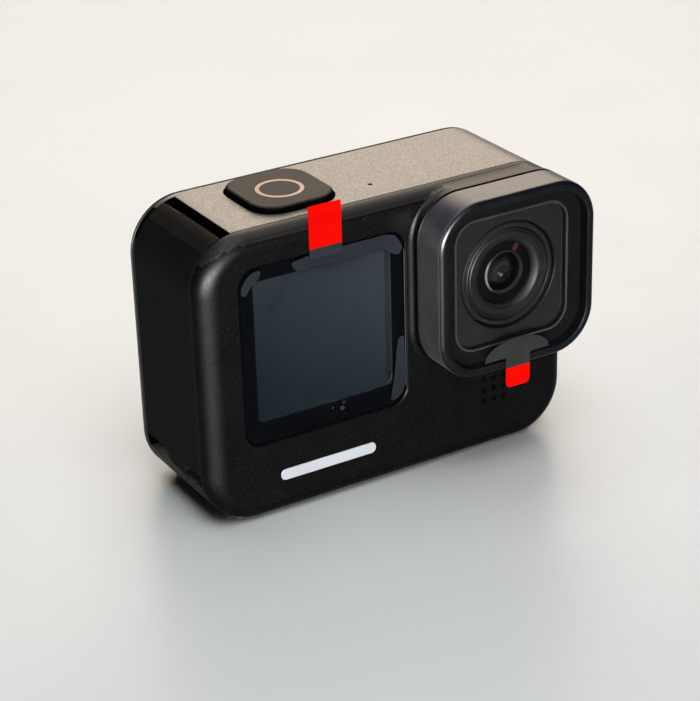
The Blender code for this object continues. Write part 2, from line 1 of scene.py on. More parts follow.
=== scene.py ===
"""Looks of the action camera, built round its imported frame.

Lengths are in millimetres until a mesh is written. +Z is up, -Y is the front of the
camera, +X is its lens side. Positions come from the boxes of the frame's nodes.
"""

import json
import math

import bmesh
import bpy
from mathutils import Matrix, Vector

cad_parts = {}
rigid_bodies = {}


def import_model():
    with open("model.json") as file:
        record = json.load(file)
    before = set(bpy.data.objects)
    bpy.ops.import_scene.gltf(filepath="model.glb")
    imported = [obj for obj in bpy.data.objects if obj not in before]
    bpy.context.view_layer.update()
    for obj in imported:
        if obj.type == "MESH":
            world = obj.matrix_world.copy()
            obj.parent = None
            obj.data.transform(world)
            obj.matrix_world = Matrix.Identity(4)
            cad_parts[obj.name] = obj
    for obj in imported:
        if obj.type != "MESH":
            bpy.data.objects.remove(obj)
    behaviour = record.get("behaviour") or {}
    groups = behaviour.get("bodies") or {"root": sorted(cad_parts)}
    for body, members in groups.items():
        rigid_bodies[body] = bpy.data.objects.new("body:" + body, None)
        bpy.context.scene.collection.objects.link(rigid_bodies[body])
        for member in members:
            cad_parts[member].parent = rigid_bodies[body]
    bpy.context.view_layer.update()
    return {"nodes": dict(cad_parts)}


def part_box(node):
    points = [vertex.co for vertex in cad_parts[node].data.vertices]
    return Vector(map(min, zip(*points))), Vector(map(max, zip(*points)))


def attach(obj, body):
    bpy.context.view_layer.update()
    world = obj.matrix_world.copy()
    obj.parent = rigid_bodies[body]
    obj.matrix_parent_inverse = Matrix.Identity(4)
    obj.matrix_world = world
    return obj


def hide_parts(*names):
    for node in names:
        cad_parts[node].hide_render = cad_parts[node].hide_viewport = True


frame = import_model()
nodes = frame["nodes"]
scene = bpy.context.scene

MM = 0.001


def box(node):
    """A node's lowest and highest corner in millimetres."""
    low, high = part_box(node)
    return low / MM, high / MM


# ================================================================ measures
shell_low, shell_high = box("front_shell")
rear_low, rear_high = box("rear_frame")
cover_low, cover_high = box("lens_cover_frame")
door_low, door_high = box("side_door")
glass_low, glass_high = box("front_screen_glass")
button_low, button_high = box("shutter_button")
barrel_low, barrel_high = box("lens_barrel")

X0, X1 = rear_low.x, rear_high.x
HEIGHT = rear_high.z
BACK = rear_high.y
CORNER = 9.3
WALL = 1.8
FRONT = -8.2
SHELL_REAR = -5.0
HOUSING = (-4.85, 15.3)
LENS = ((barrel_low.x + barrel_high.x) / 2, (barrel_low.z + barrel_high.z) / 2)
COVER = (cover_low.x, cover_high.x, cover_low.z, cover_high.z)
COVER_FRONT = cover_low.y
COVER_BACK = cover_high.y
SCREEN = (glass_low.x, glass_high.x, glass_low.z, glass_high.z)
PIVOT = (-30.0, 48.65)


# ================================================================ materials
def material(name, colour, roughness, metallic=0.0, specular=0.5, alpha=1.0, ior=1.5, coat=0.0, coat_roughness=0.03, transmission=0.0):
    made = bpy.data.materials.new(name)
    made.use_nodes = True
    shader = made.node_tree.nodes["Principled BSDF"]
    shader.inputs["Base Color"].default_value = (*colour, 1.0)
    shader.inputs["Roughness"].default_value = roughness
    shader.inputs["Metallic"].default_value = metallic
    shader.inputs["Specular IOR Level"].default_value = specular
    shader.inputs["Alpha"].default_value = alpha
    shader.inputs["IOR"].default_value = ior
    shader.inputs["Coat Weight"].default_value = coat
    shader.inputs["Coat Roughness"].default_value = coat_roughness
    shader.inputs["Transmission Weight"].default_value = transmission
    made.diffuse_color = (*colour, 1.0)
    return made


class Tree:
    """Small helper that adds nodes to a material and links them."""

    def __init__(self, made):
        self.tree = made.node_tree
        self.shader = made.node_tree.nodes["Principled BSDF"]
        self.place = self.node("ShaderNodeTexCoord").outputs["Object"]
        self.bumps = None

    def node(self, kind, **settings):
        n = self.tree.nodes.new(kind)
        for key, value in settings.items():
            if key in n.inputs:
                n.inputs[key].default_value = value
            else:
                setattr(n, key, value)
        return n

    def link(self, a, b):
        self.tree.links.new(a, b)

    def stretched(self, scale):
        n = self.node("ShaderNodeMapping")
        n.inputs["Scale"].default_value = scale
        self.link(self.place, n.inputs["Vector"])
        return n.outputs["Vector"]

    def noise(self, size_mm, detail=2.0, roughness=0.5, vector=None):
        n = self.node("ShaderNodeTexNoise")
        n.inputs["Scale"].default_value = 1.0 / (size_mm * MM)
        n.inputs["Detail"].default_value = detail
        n.inputs["Roughness"].default_value = roughness
        self.link(vector or self.place, n.inputs["Vector"])
        return n.outputs["Fac"]

    def cells(self, size_mm, feature="F1", randomness=1.0, vector=None):
        n = self.node("ShaderNodeTexVoronoi")
        n.feature = feature
        n.inputs["Scale"].default_value = 1.0 / (size_mm * MM)
        n.inputs["Randomness"].default_value = randomness
        self.link(vector or self.place, n.inputs["Vector"])
        return n.outputs["Distance"]

    def spread(self, value, low, high, to_low=0.0, to_high=1.0):
        n = self.node("ShaderNodeMapRange")
        n.inputs["From Min"].default_value = low
        n.inputs["From Max"].default_value = high
        n.inputs["To Min"].default_value = to_low
        n.inputs["To Max"].default_value = to_high
        self.link(value, n.inputs["Value"])
        return n.outputs["Result"]

    def sum(self, a, b, operation="ADD"):
        n = self.node("ShaderNodeMath")
        n.operation = operation
        for k, v in enumerate((a, b)):
            if isinstance(v, (int, float)):
                n.inputs[k].default_value = v
            else:
                self.link(v, n.inputs[k])
        return n.outputs[0]

    def mixed(self, factor, first, second):
        """A colour between two others, which may be colours or sockets."""
        n = self.node("ShaderNodeMix")
        n.data_type = "RGBA"
        sockets = [s for s in n.inputs if s.type == "RGBA"]
        scale = next(s for s in n.inputs if s.type == "VALUE" and s.name == "Factor")
        for value, place in ((first, sockets[0]), (second, sockets[1])):
            if isinstance(value, tuple):
                place.default_value = (*value, 1.0)
            else:
                self.link(value, place)
        if isinstance(factor, (int, float)):
            scale.default_value = factor
        else:
            self.link(factor, scale)
        return next(s for s in n.outputs if s.type == "RGBA")

    def colour(self, socket):
        self.link(socket, self.shader.inputs["Base Color"])

    def rough(self, socket):
        self.link(socket, self.shader.inputs["Roughness"])

    def bump(self, height, depth_mm, strength=1.0):
        n = self.node("ShaderNodeBump")
        n.inputs["Strength"].default_value = strength
        n.inputs["Distance"].default_value = depth_mm * MM
        self.link(height, n.inputs["Height"])
        if self.bumps is not None:
            self.link(self.bumps, n.inputs["Normal"])
        self.bumps = n.outputs["Normal"]
        self.link(self.bumps, self.shader.inputs["Normal"])


def moulded(name, colour, roughness, specular, grain_mm=0.22, depth=0.03, speckle=0.0, fleck=(0.10, 0.10, 0.10), coarse_mm=6.0, sheen=0.07):
    """Black injection-moulded plastic with a spark-eroded grain."""
    made = material(name, colour, roughness, specular=specular)
    t = Tree(made)
    grain = t.noise(grain_mm, 3.0, 0.6)
    pits = t.cells(grain_mm * 1.3)
    t.bump(t.sum(grain, t.sum(pits, 0.5, "MULTIPLY")), depth)
    wide = t.noise(coarse_mm, 2.0)
    tone = t.mixed(t.spread(wide, 0.35, 0.65), tuple(c * 0.85 for c in colour), tuple(c * 1.2 for c in colour))
    if speckle:
        dots = t.spread(t.noise(grain_mm * 0.8, 1.0), 0.66, 0.74)
        tone = t.mixed(t.sum(dots, speckle, "MULTIPLY"), tone, fleck)
    t.colour(tone)
    t.rough(t.spread(t.sum(grain, t.sum(wide, 0.3, "MULTIPLY")), 0.4, 0.95, roughness - sheen, roughness + sheen))
    return made


def painted_lit_top():
    """The top's grain, with fine dark dots; its pale warm tone is a painted reflection of warm light on the black top.
    """
    made = material("moulded_top_painted_light", (0.030, 0.026, 0.019), 0.38, specular=0.95)
    t = Tree(made)
    grain = t.noise(0.30, 2.0, 0.6)
    dots = t.spread(t.noise(0.26, 1.0), 0.40, 0.62)
    wide = t.noise(6.0, 2.0)
    # painted reflection: the black top's pale warm colour stands for the warm light it reflects
    painted_warm_light = t.mixed(t.spread(wide, 0.35, 0.65), (0.090, 0.078, 0.056), (0.110, 0.095, 0.070))
    t.colour(t.mixed(dots, (0.0015, 0.0015, 0.0010), painted_warm_light))
    t.rough(t.spread(grain, 0.3, 0.7, 0.33, 0.45))
    t.bump(grain, 0.06)
    return made


def polished(name, colour, roughness, smear=0.03, **settings):
    """Smooth moulded or glass surface with faint handling marks."""
    made = material(name, colour, roughness, **settings)
    t = Tree(made)
    marks = t.noise(7.0, 4.0, 0.65)
    t.rough(t.spread(marks, 0.35, 0.75, max(roughness - smear, 0.0), roughness + smear))
    t.bump(t.noise(2.5, 2.0), 0.002, 0.4)
    t.colour(t.mixed(t.spread(t.noise(11.0, 3.0), 0.3, 0.7), tuple(c * 0.92 for c in colour), tuple(min(c * 1.06, 1.0) for c in colour)))
    return made


def metal(name, colour, roughness, along=(1, 1, 1)):
    """Metal with a fine drawn grain along one direction."""
    made = material(name, colour, roughness, metallic=1.0)
    t = Tree(made)
    lines = t.noise(0.35, 3.0, 0.6, t.stretched(along))
    t.rough(t.spread(lines, 0.3, 0.7, roughness - 0.08, roughness + 0.1))
    t.bump(lines, 0.006)
    t.colour(t.mixed(t.noise(3.0, 3.0), tuple(c * 0.8 for c in colour), colour))
    return made


lit_top_grain = painted_lit_top()
# The front shell's top faces take warmer, lighter copies of the front plastic, stepped by slope: painted light on the
# top.
shell_lit_top_steps = [moulded(f"moulded_shell_lit_top_{k}", (0.0055, 0.0047, 0.0030), 0.44, level, 0.2, 0.012, 0.3, (0.02, 0.02, 0.018)) for k, level in enumerate((0.22, 0.17, 0.12, 0.07))]
grain_front = moulded("moulded_front", (0.0008, 0.0008, 0.0009), 0.42, 0.024, 0.30, 0.012, 0.9, (0.032, 0.032, 0.030))
grain_rear = moulded("moulded_rear", (0.004, 0.004, 0.0045), 0.48, 0.08, 0.2, 0.02, 0.3, (0.03, 0.03, 0.03))
grain_side = moulded("moulded_side", (0.0035, 0.0035, 0.0038), 0.50, 0.10, 0.3, 0.02, 0.6, (0.03, 0.03, 0.03))
door_plastic = moulded("door_flat", (0.0014, 0.0022, 0.0019), 0.62, 0.015, 0.3, 0.008, 0.2, (0.02, 0.02, 0.018))
# The door's upward faces take a warmer, lighter copy of the door plastic: painted light on its top.
door_lit_top = moulded("door_curve_painted_light", (0.0040, 0.0036, 0.0026), 0.34, 0.17, 0.3, 0.008, 0.2, (0.02, 0.02, 0.018))
tray_plastic = moulded("tray_plastic", (0.009, 0.009, 0.009), 0.6, 0.35, 0.25, 0.02, 0.2)
finger_plastic = moulded("finger_plastic", (0.012, 0.012, 0.0125), 0.5, 0.45, 0.3, 0.02, 0.2)
button_plastic = moulded("button_plastic", (0.0095, 0.0072, 0.0036), 0.52, 0.11, 0.35, 0.006, 0.0)
# Near-black plastic; on the button's side walls and in the door gap it is painted shade, darker than the plastic around
# it.
black_and_shade = moulded("black_and_shade", (0.0010, 0.0010, 0.0009), 0.6, 0.02, 0.35, 0.006, 0.0)
rubber = moulded("soft_rubber", (0.010, 0.010, 0.010), 0.8, 0.3, 0.4, 0.02, 0.25, (0.05, 0.05, 0.05))
cover_plastic = moulded("cover_satin", (0.009, 0.0095, 0.0145), 0.40, 0.50, 0.35, 0.004, 0.0)
# The cover's front rim and recess walls take darker copies of its satin plastic: painted shade.
cover_rim_shade = moulded("cover_rim_shade", (0.0018, 0.0022, 0.0042), 0.34, 0.07, 0.35, 0.003, 0.0)
cover_recess_shade = moulded("cover_recess_shade", (0.0032, 0.0032, 0.0028), 0.5, 0.03, 0.3, 0.004, 0.0)
lens_plastic = moulded("lens_olive", (0.0225, 0.0225, 0.0198), 0.55, 0.04, 0.25, 0.003, 0.0)
# pale strip on the cover's window edge: a painted highlight
window_edge_highlight = polished("window_edge_highlight", (0.078, 0.080, 0.077), 0.4, 0.05, specular=0.2)
lens_rings = polished("lens_rings", (0.0035, 0.0035, 0.0035), 0.45, 0.05, specular=0.2)
lens_black = polished("lens_black", (0.0012, 0.0012, 0.0014), 0.45, 0.05, specular=0.05)
glass_clear = polished("clear_glass", (0.020, 0.020, 0.019), 0.05, 0.02, specular=0.0, alpha=0.06)
glass_screen = polished("screen_glass", (0.002, 0.004, 0.009), 0.06, 0.03, specular=0.0, alpha=0.1)
glass_rear = polished("rear_glass", (0.004, 0.005, 0.007), 0.05, 0.03, specular=0.5)
lens_glass_inner = polished("lens_coated_inner", (0.002, 0.003, 0.004), 0.05, 0.02, specular=0.5)
film_clear = polished("film_clear", (0.006, 0.0065, 0.007), 0.3, 0.06, specular=0.0, alpha=0.08)
film_lift_reflection = polished("film_lift_reflection", (0.0175, 0.0225, 0.0305), 0.4, 0.06, specular=0.04)
film_edge = polished("film_edge", (0.025, 0.030, 0.036), 0.35, 0.08, specular=0.06)
tongue_film = polished("tongue_film", (0.026, 0.026, 0.027), 0.45, 0.08, specular=0.05)
red_print = polished("red_print", (0.98, 0.004, 0.002), 0.5, 0.06, specular=0.0)
black_print = polished("black_print", (0.0006, 0.0012, 0.0030), 0.4, 0.04, specular=0.02)
badge_paint = polished("badge_paint", (0.62, 0.64, 0.68), 0.45, 0.06, specular=0.4)
ring_print = polished("ring_print", (0.40, 0.255, 0.185), 0.5, 0.05, specular=0.3)
# pale grey for a glint: a painted highlight
glint_pale = polished("glint_pale", (0.16, 0.18, 0.20), 0.4, 0.05, specular=0.1)
# pale line for edges that catch the light: a painted highlight
highlight_line = polished("highlight_line", (0.060, 0.068, 0.076), 0.4, 0.05, specular=0.1)
band_dim = polished("band_dim", (0.034, 0.043, 0.050), 0.4, 0.05, specular=0.05)
dot_grey = polished("dot_grey", (0.055, 0.065, 0.080), 0.4, 0.05, specular=0.1)
pure_black = polished("pure_black", (0.0004, 0.0005, 0.0008), 0.4, 0.05, specular=0.02)
steel = metal("steel", (0.55, 0.55, 0.56), 0.32, (1, 12, 1))
dark_mesh = metal("dark_mesh", (0.09, 0.09, 0.09), 0.5)
aluminium = metal("aluminium", (0.62, 0.63, 0.64), 0.42, (12, 1, 1))
gold = metal("gold_contacts", (0.83, 0.58, 0.22), 0.28, (1, 1, 6))
light_pipe = polished("light_pipe", (0.55, 0.58, 0.62), 0.2, 0.03, specular=0.5)


def board_material():
    made = material("board_mask", (0.01, 0.075, 0.035), 0.4, specular=0.5)
    t = Tree(made)
    tracks = t.cells(1.1, randomness=0.25, vector=t.stretched((1, 1, 1)))
    t.colour(t.mixed(t.spread(tracks, 0.34, 0.4), (0.008, 0.06, 0.028), (0.02, 0.13, 0.06)))
    t.bump(t.spread(tracks, 0.34, 0.4), 0.02)
    t.rough(t.spread(t.noise(2.0, 3.0), 0.3, 0.7, 0.34, 0.5))
    return made


def sleeve_material():
    made = material("battery_sleeve", (0.02, 0.045, 0.11), 0.45, specular=0.4)
    t = Tree(made)
    wrap = t.noise(4.0, 4.0, 0.6, t.stretched((1, 0.3, 2)))
    t.colour(t.mixed(t.spread(wrap, 0.3, 0.7), (0.015, 0.035, 0.09), (0.03, 0.06, 0.14)))
    t.rough(t.spread(wrap, 0.3, 0.7, 0.36, 0.52))
    t.bump(wrap, 0.02)
    return made


def display_material():
    """The dark panel of a display that's switched off, with its pixel grid and a painted reflection that lightens it
    towards the top and the right.
    """
    made = material("display_off", (0.026, 0.036, 0.045), 0.35, specular=0.1)
    t = Tree(made)
    split = t.node("ShaderNodeSeparateXYZ")
    t.link(t.place, split.inputs[0])
    # painted reflection: a lighter tone towards the top right
    reflection_ramp = t.spread(t.sum(t.sum(split.outputs["X"], 0.6, "MULTIPLY"), split.outputs["Z"]), 0.010, 0.040)
    tone = t.mixed(reflection_ramp, (0.0145, 0.030, 0.0395), (0.072, 0.088, 0.108))
    grid = t.sum(
        t.sum(t.sum(split.outputs["X"], 1.0 / (0.12 * MM), "MULTIPLY"), 1.0, "FRACT"),
        t.sum(t.sum(split.outputs["Z"], 1.0 / (0.12 * MM), "MULTIPLY"), 1.0, "FRACT"),
        "MULTIPLY",
    )
    t.colour(t.mixed(t.spread(grid, 0.0, 1.0, 0.0, 0.08), tone, (0.045, 0.055, 0.065)))
    t.rough(t.spread(t.noise(9.0, 2.0), 0.3, 0.7, 0.26, 0.36))
    t.bump(t.noise(4.0, 2.0), 0.004)
    return made


def polar(t, centre):
    """Offsets and distance in millimetres from an axis that runs along Y."""
    split = t.node("ShaderNodeSeparateXYZ")
    t.link(t.place, split.inputs[0])
    dx = t.sum(t.sum(split.outputs["X"], 1.0 / MM, "MULTIPLY"), centre[0], "SUBTRACT")
    dz = t.sum(t.sum(split.outputs["Z"], 1.0 / MM, "MULTIPLY"), centre[1], "SUBTRACT")
    r = t.sum(t.sum(t.sum(dx, dx, "MULTIPLY"), t.sum(dz, dz, "MULTIPLY")), 0.5, "POWER")
    return dx, dz, r


def within(t, value, low, high, soft):
    """1 where a value lies between two others, with soft ends."""
    return t.sum(t.spread(value, low - soft, low + soft), t.spread(value, high + soft, high - soft), "MULTIPLY")


def coated_material():
    """The front element, with the faint rings of the elements behind it and two painted glints near its middle, one
    cyan and one yellow.
    """
    made = material("lens_coated", (0.0010, 0.0014, 0.0012), 0.03, specular=0.5)
    t = Tree(made)
    dx, dz, r = polar(t, (LENS[0] + 0.5, LENS[1] - 0.6))
    tone = t.mixed(within(t, r, 1.25, 2.05, 0.12), (0.0012, 0.0013, 0.0012), (0.020, 0.021, 0.019))
    tone = t.mixed(within(t, r, 0.75, 0.95, 0.08), tone, (0.012, 0.013, 0.011))
    # painted glints: a small cyan spot and a small yellow spot
    dx, dz, r = polar(t, (LENS[0] + 0.15, LENS[1] - 0.95))
    tone = t.mixed(t.spread(r, 0.34, 0.16), tone, (0.25, 0.52, 0.50))
    dx, dz, r = polar(t, (LENS[0] - 0.35, LENS[1] - 0.55))
    tone = t.mixed(t.spread(r, 0.32, 0.12), tone, (0.36, 0.30, 0.10))
    t.colour(tone)
    t.rough(t.spread(t.noise(5.0, 3.0), 0.3, 0.7, 0.02, 0.05))
    t.bump(t.noise(2.5, 2.0), 0.001, 0.2)
    return made


def keeper_material():
    """The black ring in front of the glass, with a grey inner lip that has a painted highlight on its left, and a
    painted pink flare.
    """
    made = material("lens_keeper_black", (0.0012, 0.0012, 0.0014), 0.4, specular=0.03)
    t = Tree(made)
    dx, dz, r = polar(t, LENS)
    lip = t.spread(r, 3.84, 3.78)
    # painted highlight: the lip turns near white on its left
    left = t.sum(t.spread(dx, -2.2, -3.3), t.spread(dz, 3.2, 1.6), "MULTIPLY")
    tone = t.mixed(lip, (0.0030, 0.0028, 0.0028), (0.040, 0.041, 0.041))
    tone = t.mixed(t.sum(lip, left, "MULTIPLY"), tone, (0.62, 0.60, 0.56))
    # painted flare: a pink patch on the ring's upper part
    across = t.sum(t.sum(dx, 0.86, "MULTIPLY"), t.sum(dz, 0.51, "MULTIPLY"), "SUBTRACT")
    flare = t.sum(within(t, r, 3.95, 5.3, 0.15), t.sum(within(t, across, -0.35, 0.50, 0.22), t.spread(dz, 0.5, 1.5), "MULTIPLY"), "MULTIPLY")
    tone = t.mixed(flare, tone, (0.16, 0.034, 0.050))
    t.colour(tone)
    t.rough(t.spread(t.noise(3.0, 3.0), 0.3, 0.7, 0.26, 0.36))
    t.bump(t.noise(0.4, 2.0), 0.002, 0.3)
    return made


def tube_material():
    """The lens tube: grey at its broad outer lip, black inside, with a painted highlight on the lip's right and painted
    shadow in crescents at the top right and bottom left of its rim.
    """
    made = material("lens_tube_black", (0.0012, 0.0012, 0.0014), 0.5, specular=0.05)
    t = Tree(made)
    dx, dz, r = polar(t, LENS)
    tone = t.mixed(t.spread(r, 5.62, 5.8), (0.0012, 0.0011, 0.0011), (0.0180, 0.0180, 0.0160))
    # painted highlight: the lip is lighter towards the right
    tone = t.mixed(t.sum(within(t, r, 5.62, 6.35, 0.1), t.spread(dx, 1.0, 4.5), "MULTIPLY"), tone, (0.054, 0.054, 0.052))
    # painted shadow: black crescents at the top right and bottom left of the outer rim
    shadow_slant = t.sum(t.sum(t.sum(dx, dz), 0.088, "MULTIPLY"), 0.0, "ADD")
    shadow_slant = t.sum(shadow_slant, shadow_slant, "MULTIPLY")
    tone = t.mixed(t.sum(t.spread(r, 7.35, 7.55), t.spread(shadow_slant, 0.15, 0.75, 0.45, 1.0), "MULTIPLY"), tone, (0.0015, 0.0015, 0.0012))
    t.colour(tone)
    t.rough(t.spread(t.noise(3.0, 3.0), 0.3, 0.7, 0.45, 0.55))
    t.bump(t.noise(0.4, 2.0), 0.001, 0.2)
    return made


def line_material():
    """A thin moulded step with a painted highlight on its right and painted shade along its bottom."""
    made = material("step_line", (0.02, 0.02, 0.018), 0.5, specular=0.05)
    t = Tree(made)
    dx, dz, r = polar(t, LENS)
    tone = t.mixed(t.spread(dx, 6.5, 9.0), (0.0125, 0.0125, 0.0110), (0.052, 0.053, 0.050))
    tone = t.mixed(t.spread(dz, -8.0, -9.8), tone, (0.004, 0.004, 0.0035))
    t.colour(tone)
    t.rough(t.spread(t.noise(3.0, 3.0), 0.3, 0.7, 0.45, 0.55))
    t.bump(t.noise(0.4, 2.0), 0.001, 0.2)
    return made


board = board_material()
lens_glass_coated = coated_material()
tube_black = tube_material()
line_shaded = line_material()
keeper_black = keeper_material()
sleeve = sleeve_material()
display = display_material()


# ================================================================ shape helpers
def rounded(a0, a1, b0, b1, r, n=14):
    """A rounded rectangle as 4 * (n + 1) points, anticlockwise."""
    points = []
    for ca, cb, start in ((a1 - r, b1 - r, 0), (a0 + r, b1 - r, 90), (a0 + r, b0 + r, 180), (a1 - r, b0 + r, 270)):
        for k in range(n + 1):
            t = math.radians(start + 90 * k / n)
            points.append((ca + r * math.cos(t), cb + r * math.sin(t)))
    return points


def grown(span, by):
    a0, a1, b0, b1 = span
    return (a0 - by, a1 + by, b0 - by, b1 + by)


def circle(a, b, r, n=96, phase=0.5):
    return [(a + r * math.cos((k + phase) * math.tau / n), b + r * math.sin((k + phase) * math.tau / n)) for k in range(n)]


def lugged(a, b, r, lug_r, half, n=96):
    points = []
    for k in range(n):
        deg = (k + 0.5) * 360 / n
        near = min(abs((deg - s + 180) % 360 - 180) for s in (90, 210, 330))
        rad = lug_r if near <= half else r
        t = math.radians(deg)
        points.append((a + rad * math.cos(t), b + rad * math.sin(t)))
    return points


def lift(axis, point, w):
    a, b = point
    return {"X": (w, a, b), "Y": (a, w, b), "Z": (a, b, w)}[axis]


def placed(name, mesh, finish):
    bmesh.ops.recalc_face_normals(mesh, faces=mesh.faces)
    data = bpy.data.meshes.new(name)
    mesh.to_mesh(data)
    mesh.free()
    obj = bpy.data.objects.new(name, data)
    scene.collection.objects.link(obj)
    data.materials.append(finish)
    return obj


def skin(name, axis, loops, finish, closed=False):
    """A solid skinned through loops of (outline, position along the axis)."""
    mesh = bmesh.new()
    rings = [[mesh.verts.new(Vector(lift(axis, p, w)) * MM) for p in outline] for outline, w in loops]
    pairs = list(zip(rings, rings[1:]))
    if closed:
        pairs.append((rings[-1], rings[0]))
    for low, high in pairs:
        count = len(low)
        for k in range(count):
            mesh.faces.new((low[k], low[(k + 1) % count], high[(k + 1) % count], high[k]))
    if not closed:
        mesh.faces.new(list(reversed(rings[0])))
        mesh.faces.new(rings[-1])
    return placed(name, mesh, finish)


def block(name, x, y, z, finish, r=0.0, n=6, axis="Z"):
    spans = {"X": (y, z, x), "Y": (x, z, y), "Z": (x, y, z)}[axis]
    (a0, a1), (b0, b1), (w0, w1) = spans
    outline = rounded(a0, a1, b0, b1, r, n) if r else [(a1, b1), (a0, b1), (a0, b0), (a1, b0)]
    return skin(name, axis, [(outline, w0), (outline, w1)], finish)


def rod(name, axis, a, b, r, w0, w1, finish, n=32):
    outline = circle(a, b, r, n)
    return skin(name, axis, [(outline, w0), (outline, w1)], finish)


def eased(profile, radius, steps=3, closed=True):
    """A profile with its corners rounded. radius is one number, or one for each corner."""
    out = []
    count = len(profile)
    for k, p in enumerate(profile):
        r = radius[k] if isinstance(radius, (list, tuple)) else radius
        if r <= 0 or (not closed and k in (0, count - 1)):
            out.append(tuple(p))
            continue
        here = Vector(p)
        back, fore = Vector(profile[k - 1]) - here, Vector(profile[(k + 1) % count]) - here
        lb, lf = back.length, fore.length
        if lb < 1e-6 or lf < 1e-6:
            out.append(tuple(p))
            continue
        back, fore = back / lb, fore / lf
        angle = math.acos(max(-1.0, min(1.0, back.dot(fore))))
        if angle > math.pi - 0.06 or angle < 0.05:
            out.append(tuple(p))
            continue
        reach = min(r / math.tan(angle / 2), 0.45 * lb, 0.45 * lf)
        arc = reach * math.tan(angle / 2)
        centre = here + (back + fore).normalized() * (arc / math.sin(angle / 2))
        s, e = here + back * reach - centre, here + fore * reach - centre
        a0 = math.atan2(s.y, s.x)
        turn = (math.atan2(e.y, e.x) - a0 + math.pi) % math.tau - math.pi
        for j in range(steps + 1):
            a = a0 + turn * j / steps
            out.append((centre.x + arc * math.cos(a), centre.y + arc * math.sin(a)))
    return out


def turned(name, profile, finish, closed=True, n=96, centre=None, ease=0.0):
    """A body turned about the lens axis from (radius, y) pairs."""
    at = centre or LENS
    if ease:
        profile = eased(profile, ease, 3, closed)
    return skin(name, "Y", [(circle(*at, r, n), y) for r, y in profile], finish, closed)


def combine(target, others, how):
    for k, other in enumerate(others):
        step = target.modifiers.new(f"{how.lower()}_{k}", "BOOLEAN")
        step.operation = how
        step.solver = "EXACT"
        step.object = other
    bpy.context.view_layer.update()
    graph = bpy.context.evaluated_depsgraph_get()
    made = bpy.data.meshes.new_from_object(target.evaluated_get(graph))
    old = target.data
    finish = old.materials[0]
    target.modifiers.clear()
    target.data = made
    made.name = target.name
    made.materials.clear()
    made.materials.append(finish)
    bpy.data.meshes.remove(old)
    for other in others:
        bpy.data.objects.remove(other, do_unlink=True)
    return target


def cut(target, *cutters):
    return combine(target, cutters, "DIFFERENCE")


def join(target, *others):
    return combine(target, others, "UNION")


def finished(obj, body="root", node=None, bevel=0.0, segments=2, angle=30.0, smooth=True):
    """Shades a piece, rounds its edges, and rides it on its body in place of a node."""
    data = obj.data
    if bevel:
        step = obj.modifiers.new("edges", "BEVEL")
        step.width = bevel * MM
        step.segments = segments
        step.limit_method = "ANGLE"
        step.angle_limit = math.radians(angle)
        step.use_clamp_overlap = True
        step.miter_outer = "MITER_ARC"
        bpy.context.view_layer.update()
        graph = bpy.context.evaluated_depsgraph_get()
        made = bpy.data.meshes.new_from_object(obj.evaluated_get(graph))
        obj.modifiers.clear()
        obj.data = made
        made.name = obj.name
        bpy.data.meshes.remove(data)
        data = made
    if smooth:
        data.polygons.foreach_set("use_smooth", [True] * len(data.polygons))
        data.set_sharp_from_angle(angle=math.radians(38))
        weight = obj.modifiers.new("weighted", "WEIGHTED_NORMAL")
        weight.keep_sharp = True
        weight.weight = 60
    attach(obj, body)
    if node:
        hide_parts(*([node] if isinstance(node, str) else node))
    return obj


# ================================================================ casing
BODY = rounded(X0, X1, 0, HEIGHT, CORNER, 20)
INNER = rounded(X0 + WALL, X1 - WALL, WALL, HEIGHT - WALL, CORNER - WALL, 20)


def filleted(y_flat, y_end, inset_x, inset_z, steps=10):
    loops = []
    for k in range(steps + 1):
        t = math.radians(90 * k / steps)
        dx, dz = inset_x * (1 - math.cos(t)), inset_z * (1 - math.cos(t))
        outline = rounded(X0 + dx, X1 - dx, dz, HEIGHT - dz, CORNER - (dx + dz) / 2, 20)
        loops.append((outline, y_flat + (y_end - y_flat) * math.sin(t)))
    return loops


def inset_body(by):
    return rounded(X0 + by, X1 - by, by, HEIGHT - by, CORNER - by, 20)


front_shell = skin(
    "shell_front",
    "Y",
    [(inset_body(0.12), SHELL_REAR), (inset_body(0.035), SHELL_REAR - 0.03), (BODY, SHELL_REAR - 0.12), *filleted(SHELL_REAR - 0.22, FRONT, 3.6, 2.7, 12)],
    grain_front,
)
cx0, cx1, cz0, cz1 = COVER
CR = 7.8


def collar_loop(flare, inset=0.0):
    return rounded(cx0 - flare + inset, cx1 - inset, cz0 - flare + inset, cz1 - inset, CR - inset + flare * 0.5, 16)


